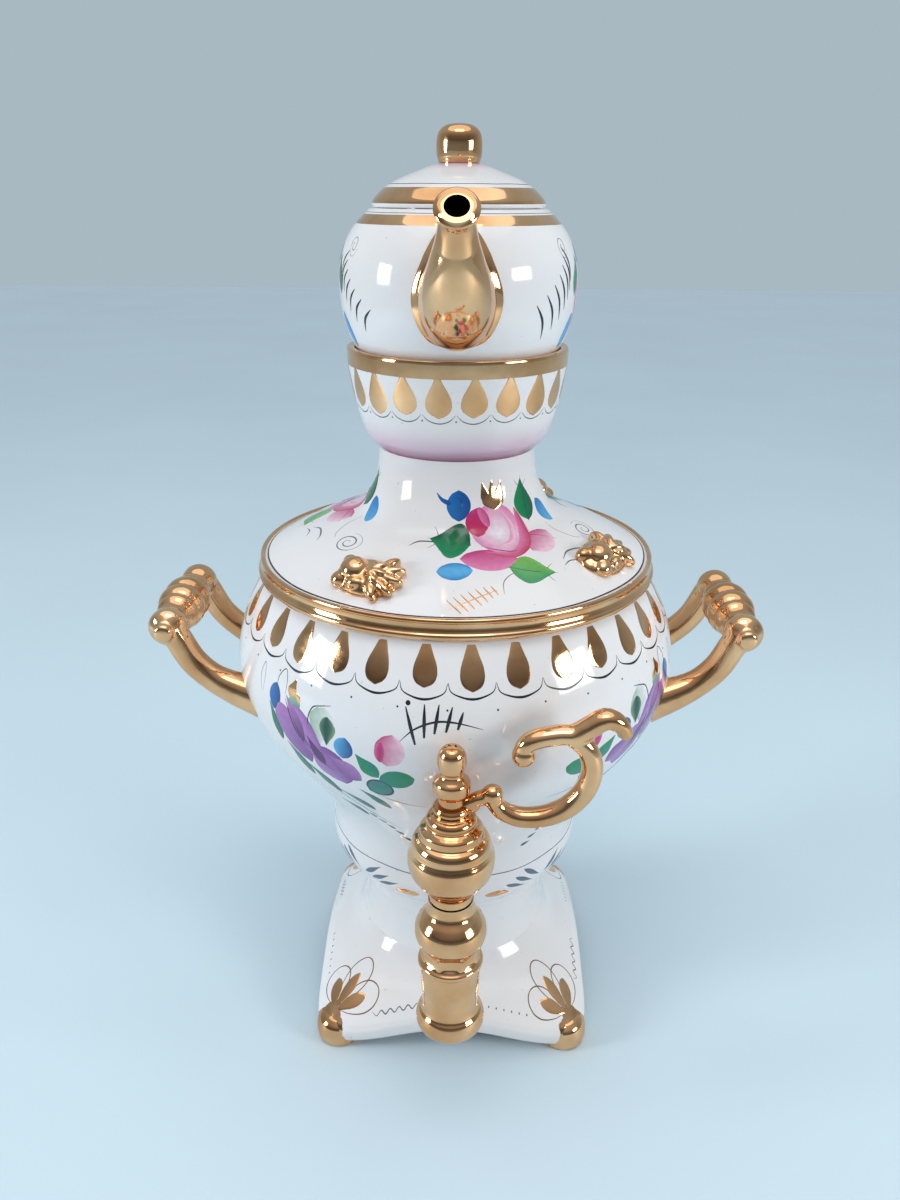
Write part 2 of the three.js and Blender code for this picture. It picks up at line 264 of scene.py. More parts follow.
def bumped(tree, shader, layers):
    # layers of (height, strength, distance in mm) stacked on one another
    previous = None
    for height, strength, distance in layers:
        bump = tree.nodes.new("ShaderNodeBump")
        bump.inputs["Strength"].default_value = strength
        bump.inputs["Distance"].default_value = distance * mm
        tree.links.new(height, bump.inputs["Height"])
        if previous:
            tree.links.new(previous, bump.inputs["Normal"])
        previous = bump.outputs["Normal"]
    tree.links.new(previous, shader.inputs["Normal"])


glaze = {"white": (0.80, 0.805, 0.83), "warm": (0.78, 0.765, 0.76), "speck": (0.45, 0.40, 0.34),
         "rough": (0.05, 0.12), "wave": 0.25, "pinhole": 0.12, "cloudScale": 22, "speckScale": 520,
         "roughScale": 60, "waveScale": 45, "pinholeScale": 900}


def glazedPorcelain(name, painted=False, gilt=False):
    made, tree, shader = material(name)
    cloud = noise(tree, glaze["cloudScale"])
    colour = blended(tree, ranged(tree, cloud, 0, 1), glaze["white"], glaze["warm"])
    specks = ranged(tree, noise(tree, glaze["speckScale"], 1), 0, 0.55, 0.77, 0.80)
    colour = blended(tree, specks, colour, glaze["speck"])
    if painted:
        wash = tree.nodes.new("ShaderNodeAttribute")
        wash.attribute_name = "wash"
        colour = blended(tree, 1.0, colour, wash.outputs["Color"], "MULTIPLY")
    rough = ranged(tree, noise(tree, glaze["roughScale"]), *glaze["rough"])
    if gilt:
        cover = tree.nodes.new("ShaderNodeAttribute")
        cover.attribute_name = "gilt"
        worn = tree.nodes.new("ShaderNodeMath")
        worn.operation = "ADD"
        tree.links.new(cover.outputs["Fac"], worn.inputs[0])
        tree.links.new(ranged(tree, noise(tree, 300), -0.04, 0.04), worn.inputs[1])
        mask = ranged(tree, worn.outputs[0], 0, 1, 0.49, 0.51)
        patches = ranged(tree, noise(tree, gilding["paintScale"]), 0, 1)
        colour = blended(tree, mask, colour, blended(tree, patches, gilding["deep"], gilding["light"]))
        tree.links.new(mask, shader.inputs["Metallic"])
    tree.links.new(colour, shader.inputs["Base Color"])
    tree.links.new(rough, shader.inputs["Roughness"])
    bumped(tree, shader, [(noise(tree, glaze["waveScale"]), glaze["wave"], 0.25),
                          (noise(tree, glaze["pinholeScale"], 1), glaze["pinhole"], 0.02)])
    return made


gilding = {"deep": (0.60, 0.28, 0.11), "light": (0.94, 0.60, 0.33), "rough": (0.04, 0.13), "wave": 0.35,
           "patchScale": 45, "paintScale": 70, "roughScale": 240, "waveScale": 75, "grainScale": 1100}


def brightGold(name):
    made, tree, shader = material(name, 1.0)
    patches = ranged(tree, noise(tree, gilding["patchScale"]), 0.15, 0.85)
    tree.links.new(blended(tree, patches, gilding["deep"], gilding["light"]), shader.inputs["Base Color"])
    rough = ranged(tree, noise(tree, gilding["roughScale"]), *gilding["rough"])
    tree.links.new(rough, shader.inputs["Roughness"])
    bumped(tree, shader, [(noise(tree, gilding["waveScale"]), gilding["wave"], 0.3),
                          (noise(tree, gilding["grainScale"], 2), 0.15, 0.02)])
    return made


def overglazePaint(name):
    made, tree, shader = material(name)
    laid = tree.nodes.new("ShaderNodeAttribute")
    laid.attribute_name = "paint"
    streaks = ranged(tree, noise(tree, 420, 4), 0.90, 1.06)
    thin = tree.nodes.new("ShaderNodeCombineColor")
    for k in range(3):
        tree.links.new(streaks, thin.inputs[k])
    colour = blended(tree, 1.0, laid.outputs["Color"], thin.outputs["Color"], "MULTIPLY")
    tree.links.new(colour, shader.inputs["Base Color"])
    tree.links.new(ranged(tree, noise(tree, 200), 0.08, 0.2), shader.inputs["Roughness"])
    bumped(tree, shader, [(noise(tree, 500, 4), 0.3, 0.03)])
    return made


# each finish pairs a material with a slot name
white = (glazedPorcelain("glazed porcelain"), "porcelain")
washed = (glazedPorcelain("glazed porcelain with a colour wash", painted=True), "porcelain")
cornered = (glazedPorcelain("glazed porcelain with gilt corners", gilt=True), "porcelain")
gold = (brightGold("bright gold"), "gilding")
paint = (overglazePaint("overglaze paint"), "porcelain")


def settle(piece, body, finish, *nodes):
    # gives a piece its finish, the body it rides on and the CAD nodes it stands in for
    coating, slot = finish
    piece.data.materials.clear()
    piece.data.materials.append(coating)
    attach(piece, body)
    if nodes:
        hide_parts(*nodes)
    return piece


def make(name, shape, body, finish, *nodes, sharp=38):
    return settle(build(name, *shape, sharp), body, finish, *nodes)


def wash(piece, colourAt):
    # colours the glaze itself, by height and distance from the axis
    layer = piece.data.attributes.new("wash", "FLOAT_COLOR", "POINT")
    corners = np.array([v.co for v in piece.data.vertices]) / mm
    colours = np.concatenate([colourAt(corners), np.ones((len(corners), 1))], 1)
    layer.data.foreach_set("color", colours.ravel())


# pedestal

pedestal = {"stemRadius": 46, "half": 65, "squareness": 8, "drop": 9.5, "footInset": 53.5, "giltReach": 9.0,
            "giltCentre": 60.5, "top": 41, "wall": 5}
edgeLine = [(62.6, 12.9), (64, 12.7), (64.8, 13.6), (65.1, 16), (65.2, 18.4), (65.0, 20.0), (64.3, 21.7)]
slopeLine = [(64.3, 21.7), (61.4, 25), (57, 28.6), (52.4, 32), (48.7, 36), (46, 41)]
baseLine = np.concatenate([smooth(edgeLine, 18)[:-1], smooth(slopeLine, 40)])
underLine = smooth([(36, 33), (48, 27.5), (56, 20), (61, 13.8)], 24)


def squareness(corners):
    # pulls a round dish out to a rounded square whose corners hang down
    x, y, z = corners[..., 0] - urnAxis[0], corners[..., 1] - urnAxis[1], corners[..., 2]
    r, angle, power = np.hypot(x, y), np.arctan2(y, x), pedestal["squareness"]
    t = np.clip((r - pedestal["stemRadius"]) / (pedestal["half"] - pedestal["stemRadius"]), 0, 1.02)
    total = np.abs(np.cos(angle)) ** power + np.abs(np.sin(angle)) ** power
    pull = 1 + (total ** (-1 / power) - 1) * t
    drop = pedestal["drop"] * np.abs(np.sin(2 * angle)) ** 2.3 * t ** 1.6
    low = z < pedestal["top"] + 0.01  # the stem above stays round
    pull, drop = np.where(low, pull, 1), np.where(low, drop, 0)
    return np.stack([x * pull + urnAxis[0], y * pull + urnAxis[1], z - drop], -1)


stemLine = smooth([(46, 41), (44.3, 47), (43.6, 55), (44.4, 64), (48.2, 72), (53.2, 78), (57, 83.6),
                   (58.9, 90), (58.3, 97.5)], 90)
corners, faces = turned([(41, 41), *baseLine[::-1], *underLine[::-1], (36.5, 34)], sides=320)
shaped = squareness(np.array(corners))
base = build("pedestalBase", shaped, faces, 50)
inset = pedestal["footInset"]
away = np.abs(shaped[:, :2] - urnAxis) - pedestal["giltCentre"]
swing = np.arctan2(away[:, 1], away[:, 0])
reach = np.linalg.norm(away, axis=1) - pedestal["giltReach"] - 0.9 * np.sin(swing * 5)
base.data.attributes.new("gilt", "FLOAT", "POINT").data.foreach_set("value",
                                                                    np.clip(0.5 - reach / 12, 0, 1))
settle(base, "root", cornered, "base")
stemShape = turned([*stemLine, *parallel(stemLine, -pedestal["wall"])[::-1]])
make("stemCup", stemShape, "root", white, "stem")

foot = smooth([(8.5, 0), (10.2, 1.2), (10.9, 4), (10.9, 7.5), (9.8, 11), (7, 13.6)], 20)
for end, sideY in (("front", -1), ("rear", 1)):
    for side, sideX in (("left", -1), ("right", 1)):
        spot = (urnAxis[0] + sideX * inset, urnAxis[1] + sideY * inset)
        name = "cornerFoot" + end.title() + side.title()
        make(name, turned([(0, 0), *foot, (0, 14.5)], spot, 64), "root", gold, f"foot_{end}_{side}")

print("pedestal made")

# tank

tankWall = 4.5
tankLine = smooth([(58.3, 97.5), (60, 109), (65.6, 122), (76.5, 138), (87.2, 153), (93.7, 166), (97, 178),
                   (97.4, 188), (95.8, 198), (92.5, 207), (88, 216), (84.3, 222)], 150)
tankInside = [p for p in parallel(tankLine, -tankWall) if 104 < p[1] < 217]
tankShape = turned([(0, 97.5), *tankLine, (83.8, 222.8), (83, 223.2), (80, 223.2), (79.5, 222.6),
                    *tankInside[::-1], (52, 103), (0, 103)], sides=288)
make("tankShell", tankShape, "root", white, "vessel")

# side handles

handle = {"gripX": 123.75, "gripZ": 202, "ballY": 28, "armRadius": 6.0, "rootRadius": 9.5, "voxel": 0.7}
gripHalf = [(8.6, 0), (10.2, 2.4), (10.5, 5.6), (9.6, 8.4), (8.2, 9.8), (8.9, 11.4), (8.7, 13.8),
            (7.0, 15.8), (6.4, 18), (6.2, 20), (7.6, 22.4), (8.3, 26), (7.9, 29.4), (5.6, 31.8), (4.2, 33),
            (4.3, 34.6), (3.2, 36.1), (0, 36.6)]
armLine = [(84, 168.5), (96, 173), (106, 178.5), (114, 186.5), (119.5, 197), (122, 202)]
for side, sideX in (("left", -1), ("right", 1)):
    half = smooth(gripHalf, 90)
    half[:, 0] = np.maximum(half[:, 0], 0)
    along = np.concatenate([half[::-1], half[1:] * (1, -1)])
    corners, faces = turned(along, (0, 0), 72, wrap=False)
    grip = np.array(corners)[:, [0, 2, 1]] + (sideX * handle["gripX"] + urnAxis[0], urnAxis[1],
                                              handle["gripZ"])
    parts = [(grip, faces)]
    for sideY in (-1, 1):
        y = urnAxis[1] + sideY * handle["ballY"]
        route = smooth([(x, y, z) for x, z in armLine], 40)
        route[:, 0] = route[:, 0] * sideX + urnAxis[0]
        t = np.linspace(0, 1, len(route))
        flare = (handle["rootRadius"] - handle["armRadius"]) * np.maximum(1 - t * 2.2, 0) ** 1.5
        parts.append(swept(route, handle["armRadius"] + flare, (0, 1, 0)))
    nodes = [f"handle_{part}_{side}" for part in ("grip", "arm_front", "arm_rear")]
    settle(fused(side + "Handle", parts, handle["voxel"], 6), "root", gold, *nodes)
print("tank and handles made")

# tap

tap = {"shankHeight": 110, "collar": (96.4, 103.4), "flatGrow": 1.04}
barrelLine = smooth([(7.6, 60), (10.6, 60.3), (12.8, 61.8), (13.8, 64.2), (13.8, 66.8), (13.0, 69.2),
                     (11.8, 70.8), (11.3, 73), (11.4, 78), (11.7, 84), (11.9, 90), (12.0, 92.4),
                     (12.9, 93.6), (12.9, 95), (11.7, 96.2), (11.0, 98), (11.1, 101), (12.2, 103.6),
                     (13.7, 106), (14.2, 109), (13.6, 112.6), (11.6, 115.8), (9.3, 118.4), (8.5, 121),
                     (8.9, 124)], 190)


def facets(angles, z):
    # eight flats between the two beads of the collar
    sector = (angles + math.pi / 8) % (math.pi / 4) - math.pi / 8
    flat = math.cos(math.pi / 8) / np.cos(sector) * tap["flatGrow"]
    low, high = tap["collar"]
    return 1 + (flat - 1) * np.clip(min(z - low, high - z), 0, 1)


boreLine = smooth([(6.2, 124), (5.0, 60)], 30)
barrelShape = turned([*barrelLine, *boreLine], tapAxis, 160, ripple=facets)
make("tapBarrel", barrelShape, "root", gold, "tap_barrel", sharp=30)


def alongShank(outline):
    # an outline turned round the level shank, its height measured forwards from the urn's axis
    corners, faces = turned(outline, (0, 0), 96)
    x, z, y = np.array(corners).T
    return np.stack([x, urnAxis[1] - y, z + tap["shankHeight"]], 1), faces


shankPipe = smooth([(8.6, 56), (7.6, 60), (7.3, 70), (7.3, 84), (7.8, 92), (9.5, 97)], 40)
make("tapShank", alongShank([*shankPipe, (3.2, 97), (3.2, 56)]), "root", gold, "tap_shank")
flangeLine = smooth([(9.6, 54), (10.4, 56), (10.5, 59.5), (9.8, 62), (8.6, 63.4), (8.4, 64.4)], 24)
make("tapFlange", alongShank([*flangeLine, (7.2, 64.4), (7.2, 54)]), "root", gold, "tap_flange")

plugLine = [(0, 112), (3.2, 112), (3.2, 66), (4.7, 66), (5.8, 124), (0, 124)]
make("tapPlug", turned(plugLine, tapAxis, 64), "tap_key", white, "tap_plug")
keyLine = smooth([(8.4, 124.4), (8.6, 127.4), (10.4, 130.4), (13.4, 133.6), (15.6, 137.4), (16.6, 141.6),
                  (16.6, 145.2), (15.7, 147.4), (15.2, 148.6), (15.0, 150.6), (13.9, 152.6), (12.4, 153.6),
                  (12.1, 155), (12.0, 156.6), (10.6, 158), (9.5, 158.9), (9.6, 160.8), (8.6, 162.4),
                  (7.0, 163.2), (7.2, 165.4), (6.4, 166.8)], 170)
make("tapKey", turned([(0, 124.4), *keyLine, (0, 166.8)], tapAxis, 144), "tap_key", gold, "tap_key")
finialLine = smooth([(5.0, 166.9), (5.2, 170.6), (6.6, 172.4), (7.1, 174.6), (6.8, 177), (5.2, 178.8),
                     (4.4, 180.2), (4.9, 182.2), (5.4, 185), (5.0, 188.4), (3.2, 190.8), (0, 191.5)], 90)
finialShape = turned([(0, 166.9), *np.maximum(finialLine, 0)], tapAxis, 96)
make("tapFinial", finialShape, "tap_key", gold, "tap_finial")

lever = {"voxel": 0.55, "lowerDepth": 1.1, "upperDepth": 1.15}


def besideTap(points, steps):
    # (out, height) in the upright plane through the tap, towards +X
    route = smooth(points, steps)
    return np.stack([tapAxis[0] + route[:, 0], np.full(len(route), tapAxis[1]), route[:, 1]], 1)


lowerArm = besideTap([(4, 165.4), (9, 169), (14, 169.6), (18.4, 164.6), (25, 161.6), (34, 162), (43, 166.4),
                      (49, 174), (51, 183), (48.6, 191), (43, 196)], 90)
upperArm = besideTap([(24.4, 187.4), (26.6, 192.4), (31, 195), (38, 196.6), (44, 197), (49, 200),
                      (54.6, 203.4), (59.6, 201.4), (62.8, 196.4)], 80)
lowerRadius = smooth([2.5, 2.9, 3.6, 4.0, 4.1, 4.0, 3.6], 90)[:, 0]
upperRadius = smooth([2.8, 3.5, 3.7, 3.7, 4.0, 4.0, 3.4, 2.4], 80)[:, 0]
knots = (((26, 188), (4.5, 4.5, 4.5)), ((15, 171), (4.2, 4.0, 4.2)), ((7.5, 166.5), (3.4, 3.0, 3.0)),
         ((44.5, 196.5), (4.8, 4.2, 4.4)))
leverParts = [swept(lowerArm, lowerRadius, (0, 1, 0), squash=lever["lowerDepth"]),
              swept(upperArm, upperRadius, (0, 1, 0), squash=lever["upperDepth"])]
leverParts += [lump((tapAxis[0] + out, tapAxis[1], height), radii) for (out, height), radii in knots]
settle(fused("tapLever", leverParts, lever["voxel"], 5), "tap_key", gold, "tap_lever")
print("tap made")

# urn lid, gallery and relief bosses

shoulderLine = smooth([(83.2, 231.5), (80.5, 232.6), (66, 240), (52, 246), (42, 250.5), (37.2, 258),
                       (34.3, 265), (33.1, 272), (33, 277.4)], 100)
underShoulder = [p for p in parallel(shoulderLine, -4) if p[0] < 76]
lidShape = turned([(83.4, 223.8), (83.4, 231.0), *shoulderLine, *underShoulder[::-1],
                   (76, 214), (78.6, 214), (78.8, 214.4), (78.8, 223.8)], sides=288)
make("lidShell", lidShape, "lid", white, "lid")
rimBead = smooth([(83.2, 231.5), (84.0, 232.3), (85.0, 232.0), (85.4, 231.0), (85.0, 230.2), (85.0, 228.6),
                  (85.6, 227), (86.3, 226.2), (86.5, 225.2), (86.0, 224.2), (84.6, 223.7)], 60)
make("lidRimGold", turned([*rimBead, (83.4, 223.9)], sides=288), "lid", gold)

galleryLine = smooth([(33.3, 277.5), (34.6, 279), (38.3, 283.5), (41.7, 294), (43.3, 301), (44.3, 307),
                      (45, 312), (45, 317.4)], 90)
galleryInside = [p for p in parallel(galleryLine, -3) if p[1] > 285]
gallery = build("galleryCup", *turned([*galleryLine, (44.6, 318), (42.4, 318), *galleryInside[::-1],
                                       (33.5, 282), (9, 282), (9, 277.5)]))


galleryTints = {"lilac": (0.82, 0.64, 0.78), "wine": (0.30, 0.05, 0.14), "top": 293, "depth": 15.5,
                "neck": 32.5}


def galleryWash(corners):
    # white above, lilac below the drops, wine red in the crease
    low = np.clip((galleryTints["top"] - corners[:, 2]) / galleryTints["depth"], 0, 1)[:, None] ** 1.25
    out = np.hypot(corners[:, 0] - urnAxis[0], corners[:, 1] - urnAxis[1])
    low[out < galleryTints["neck"]] = 0
    lilac, wine = np.array(galleryTints["lilac"]), np.array(galleryTints["wine"])
    return np.where(low < 0.6, 1 + (lilac - 1) * low / 0.6, lilac + (wine - lilac) * (low - 0.6) / 0.4)


wash(gallery, galleryWash)
settle(gallery, "lid", washed, "gallery_cup")
galleryBead = smooth([(45.15, 311.6), (45.25, 315), (45.2, 317.4), (44.7, 318.15), (43.6, 318.3),
                      (42.5, 318.15), (41.9, 317.2)], 24)
make("galleryRimGold", turned([(44.9, 311.5), *galleryBead, (41.8, 309), (42.2, 309), (42.2, 317),
                               (44.8, 317)]), "lid", gold)

boss = {"ring": 69, "height": 238.2, "angles": (-29, 60, 151), "voxel": 0.5, "tilt": 0.46}


def reliefBoss(name, angle, node):
    # a ruffled shell: a broad mound, a rolled lobe on one side and folds fanning out from it
    parts = [lump((0, 0, -0.4), (14.6, 9.8, 5.6)), lump((-5.2, 0.6, 3.6), (6.0, 5.6, 4.6)),
             lump((-9.0, -4.0, 1.6), (4.6, 3.8, 3.6), 0.5), lump((-9.4, 4.6, 1.6), (4.4, 3.4, 3.4), -0.5)]
    for k in range(5):
        turn = math.radians(-62 + 31 * k)
        parts.append(lump((3.0 + 7.2 * math.cos(turn), 6.4 * math.sin(turn), 1.8), (6.4, 2.5, 3.8), turn,
                          0.3))
    for k in range(3):
        turn = math.radians(-38 + 38 * k)
        parts.append(lump((2.2 + 3.6 * math.cos(turn), 3.6 * math.sin(turn), 4.6), (4.8, 1.9, 3.0), turn,
                          0.25))
    parts.append(lump((-1.4, -5.6, 3.0), (4.2, 2.6, 2.8), 0.2))
    lean = Matrix.Rotation(boss["tilt"], 4, "X")
    place = (Matrix.Translation((urnAxis[0], urnAxis[1], 0)) @ Matrix.Rotation(math.radians(angle), 4, "Z")
             @ Matrix.Translation((0, -boss["ring"], boss["height"])) @ lean)
    turnedParts = [((np.c_[c, np.ones(len(c))] @ np.array(place).T)[:, :3], f) for c, f in parts]
    settle(fused(name, turnedParts, boss["voxel"], 4), "lid", gold, node)


for number, angle in enumerate(boss["angles"], 1):
    reliefBoss(f"reliefBoss{number}", angle, f"lid_boss_{number}")
print("lid, gallery and bosses made")

# teapot

potLine = smooth([(30, 282.6), (31.8, 289), (34.5, 300), (38.5, 312), (43.6, 322), (46.3, 331), (47.3, 342),
                  (46.9, 350), (44.8, 357), (41.4, 363), (35.8, 369)], 130)
potInside = [p for p in parallel(potLine, -3) if p[1] > 291 and p[0] > 33]
potShape = turned([(0, 285.5), (24, 285.5), (25.5, 282.6), *potLine, (34.6, 369.8), (33.8, 370),
                   (31.4, 370), (31, 369.6), *potInside[::-1], (26, 289), (0, 289)])
make("teapotBody", potShape, "teapot", white, "teapot_body")


def onMiddle(line):
    # (forwards or back, height) in the upright plane through the spout and the handle
    return np.stack([np.full(len(line), urnAxis[0]), line[:, 0] + urnAxis[1], line[:, 1]], 1)


spout = {"tip": 7.7, "bore": 4.3}
spoutRoute = smooth([(-41, 337), (-50, 341), (-60.5, 349), (-66.5, 359.5), (-71, 367), (-76.5, 371.6)], 110)
spoutRoute = onMiddle(spoutRoute)
t = np.linspace(0, 1, len(spoutRoute))
outside = smooth([15.4, 15.0, 14.6, 13.6, 12.0, 9.9, 8.0, 6.9, 6.4, 6.3, 6.2], len(t) - 1)[:, 0]
lip = np.exp(-((t - 0.955) / 0.028) ** 2)
outside = np.maximum(outside + (spout["tip"] - 6.2) * lip, spout["bore"] + 1.0)
inside = spout["bore"] + 6 * (1 - t) ** 1.4
spoutShape = swept(spoutRoute, outside, (1, 0, 0), 96, 0.95 + 0.05 * t, inside)
make("teapotSpout", spoutShape, "teapot", gold, "teapot_spout", sharp=50)

loop = {"radius": 4.0, "flare": 0.35, "voxel": 0.55}
loopRoute = smooth([(43, 356.5), (52, 363), (62, 365), (72, 361), (79, 352), (79.6, 343), (74, 333.6),
                    (62, 327.6), (50, 325.6), (43, 326)], 110)
loopRoute = onMiddle(loopRoute)
t = np.linspace(0, 1, len(loopRoute))
ends = np.maximum(1 - t * 7, 0) + np.maximum(t * 7 - 6, 0)
thick = loop["radius"] * (0.95 + loop["flare"] * ends - 0.1 * np.sin(math.pi * t))
thumb = lump((urnAxis[0], urnAxis[1] + 66, 368.2), (3.2, 4.6, 3.0), 0, -0.3)
potHandle = fused("teapotHandle", [swept(loopRoute, thick, (1, 0, 0), squash=0.95), thumb], loop["voxel"],
                  4)
settle(potHandle, "teapot", gold, "teapot_handle")

coverLine = smooth([(33.9, 371.2), (33.2, 373), (31.5, 374.9), (28.4, 377.6), (23.3, 380.4), (16, 383.2),
                    (8.5, 385.8), (0, 386.2)], 80)
coverUnder = [p for p in parallel(coverLine, -3) if 1 < p[0] < 26.5]
cover = build("teapotLid", *turned([(33.4, 370.3), *np.maximum(coverLine, 0), (0, 382.8), *coverUnder[::-1],
                                    (27.2, 372.5), (27.2, 362), (29.8, 362), (29.8, 370.3)]))


coverBlush = {"colour": (0.86, 0.52, 0.66), "reach": 16.5, "fade": 8}


def coverWash(corners):
    # rose pink under the knob, fading outwards
    out = np.hypot(corners[:, 0] - urnAxis[0], corners[:, 1] - urnAxis[1])
    near = np.clip((coverBlush["reach"] - out) / coverBlush["fade"], 0, 1)[:, None]
    return 1 + (np.array(coverBlush["colour"]) - 1) * near ** 1.5


wash(cover, coverWash)
settle(cover, "teapot_lid", washed, "teapot_lid")
knobLine = smooth([(7.9, 386.0), (8.1, 386.8), (8.6, 388.4), (8.8, 391), (8.7, 394), (7.8, 397), (5, 399.2),
                   (0, 400)], 60)
knobShape = turned([(0, 386.0), *np.maximum(knobLine, 0)], sides=128)
make("teapotLidKnob", knobShape, "teapot_lid", gold, "teapot_lid_knob")
print("teapot made")


# the painter's tools

def skin(line, warp=None):
    # a glazed surface to paint on: angle from the front towards +X in degrees, and the way up it in mm
    line = np.array(line, float)
    length = np.concatenate([[0], np.cumsum(np.linalg.norm(np.diff(line, axis=0), axis=1))])
    return {"r": line[:, 0], "z": line[:, 1], "s": length, "warp": warp}


def onSkin(surface, angle, s):
    r = np.interp(s, surface["s"], surface["r"])
    z = np.interp(s, surface["s"], surface["z"])
    a = np.radians(angle)
    spots = np.stack([urnAxis[0] + r * np.sin(a), urnAxis[1] - r * np.cos(a), z], -1)
    return surface["warp"](spots) if surface["warp"] else spots


def liftedFrom(surface, angle, s, lift):
    across = onSkin(surface, angle + 0.2, s) - onSkin(surface, angle - 0.2, s)
    top = surface["s"][-1]
    up = onSkin(surface, angle, np.minimum(s + 0.2, top)) - onSkin(surface, angle, np.maximum(s - 0.2, 0))
    out = np.cross(across, up)
    out /= np.linalg.norm(out, axis=-1)[..., None]
    return onSkin(surface, angle, s) + out * np.array(lift)[..., None]


tankSkin, lidSkin, gallerySkin = skin(tankLine), skin(shoulderLine), skin(galleryLine)
potSkin, coverSkin, stemSkin = skin(potLine), skin(coverLine[:-4]), skin(stemLine)
baseSkin = skin(baseLine, squareness)


def around(surface, angle, s):
    # a drawing place on a turned surface: u mm to the right, v mm up
    def chart(u, v):
        up = s + v
        return angle + np.degrees(u / np.interp(up, surface["s"], surface["r"])), up
    return surface, chart


def onBase(x, y, turn=0.0):
    # a drawing place on the pedestal's top, given on its plan, x to the right and y to the back
    inner, power = pedestal["stemRadius"], pedestal["squareness"]
    span = pedestal["half"] - inner
    c, sn = math.cos(math.radians(turn)), math.sin(math.radians(turn))
    flatTop = baseLine[:, 0].argmax()

    def chart(u, v):
        px, py = x + u * c - v * sn, y + u * sn + v * c
        a, reachOut = np.arctan2(py, px), np.hypot(px, py)
        grow = (np.abs(np.cos(a)) ** power + np.abs(np.sin(a)) ** power) ** (-1 / power) - 1
        p, q = grow / span, 1 - inner * grow / span
        r = np.where(grow < 1e-5, reachOut, (-q + np.sqrt(q * q + 4 * np.maximum(p, 1e-7) * reachOut))
                     / (2 * np.maximum(p, 1e-7)))
        up = np.interp(-r, -baseLine[flatTop:, 0], baseSkin["s"][flatTop:])
        return np.degrees(np.arctan2(px, -py)), up
    return baseSkin, chart


def newCoat():
    return {"corners": [], "faces": [], "paint": []}


def stroke(coat, place, path, widths, first, second=None, how="along", lift=0.07, across=7, closed=False,
           turn=0.0, spacing=0.7):
    # one brush stroke: a thin closed lens of colour whose edges sink into the glaze
    surface, chart = place
    path = np.array(path, float)
    if turn:
        c, s = math.cos(math.radians(turn)), math.sin(math.radians(turn))
        path = path @ np.array([[c, -s], [s, c]])
    length = np.linalg.norm(np.diff(path, axis=0), axis=1).sum()
    steps = int(max(6, length / spacing))
    if closed:
        path = np.concatenate([path[-1:], path, path[:2]])
        fine = smooth(path, steps + 2 * int(steps / (len(path) - 3)))
        part = len(fine) / (len(path) - 1)
        line = fine[int(round(part)):int(round(part * (len(path) - 2)))]
    else:
        line = smooth(path, steps)
    way = np.gradient(line, axis=0)
    way /= np.maximum(np.linalg.norm(way, axis=1), 1e-6)[:, None]
    half = np.abs(smooth(np.atleast_1d(widths) if np.ndim(widths) else [widths] * 2, len(line) - 1))[:,
                                                                                                     0] / 2
    e = np.linspace(-1, 1, across)
    u = line[:, 0, None] + way[:, 1, None] * half[:, None] * e
    v = line[:, 1, None] - way[:, 0, None] * half[:, None] * e
    crest = np.minimum(1, half / 0.35)[:, None] * lift * (1 - 1.5 * np.abs(e) ** 5)
    angle, up = chart(u, v)
    top = liftedFrom(surface, angle, up, crest)
    under = [across - 2, 1]
    low = liftedFrom(surface, angle[:, under], up[:, under], np.full((len(line), 2), -0.18))
    rings = np.concatenate([top, low], 1)
    count, width = rings.shape[:2]
    start = len(coat["corners"])
    coat["corners"].extend(rings.reshape(-1, 3).tolist())
    for n in range(count if closed else count - 1):
        coat["faces"].extend(strip(start + n * width, start + (n + 1) % count * width, width))
    if not closed:
        coat["faces"].append(tuple(start + k for k in range(width)))
        coat["faces"].append(tuple(start + (count - 1) * width + k for k in reversed(range(width))))
    t = np.linspace(0, 1, count)[:, None] * np.ones(across)
    mix = {"along": t, "edge": np.abs(e)[None] ** 2.2 * np.ones_like(t),
           "side": (e[None] + 1) / 2 * np.ones_like(t), "core": 1 - np.clip(np.hypot(2 * t - 1, e[None]), 0,
                                                                            1)}[how][..., None]
    a, b = np.array(paints[first]), np.array(paints[second or first])
    shade = a + (b - a) * mix
    shade = np.concatenate([shade, shade[:, under]], 1)
    coat["paint"].extend(shade.reshape(-1, 3).tolist())


def finishCoat(coat, name, body, finish):
    piece = build(name, coat["corners"], coat["faces"], 60)
    layer = piece.data.attributes.new("paint", "FLOAT_COLOR", "POINT")
    colours = np.concatenate([np.array(coat["paint"]), np.ones((len(coat["paint"]), 1))], 1)
    layer.data.foreach_set("color", colours.ravel())
    settle(piece, body, finish)


def pen(coat, place, path, widths, colour, **more):
    # a drawn line in one colour
    stroke(coat, place, path, widths, colour, across=5, **more)


oval = [0.04, 0.55, 0.82, 0.96, 1.0, 0.96, 0.82, 0.55, 0.04]
pointed = [0.04, 0.6, 0.9, 1.0, 0.92, 0.72, 0.46, 0.2, 0.02]
drop = [0.06, 0.24, 0.40, 0.58, 0.78, 0.95, 1.0, 0.86, 0.5, 0.05]
longDrop = [0.12, 0.2, 0.31, 0.46, 0.62, 0.78, 0.9, 0.98, 1.0, 0.94, 0.76, 0.4, 0.05]


def petal(coat, place, length, width, turn, first, second=None, how="along", shape=oval, bend=0.0, **more):
    path = [(bend * (1 - (2 * k / 4 - 1) ** 2), length * (k / 4 - 0.5)) for k in range(5)]
    stroke(coat, place, path, [w * width for w in shape], first, second, how, across=11, turn=turn, **more)


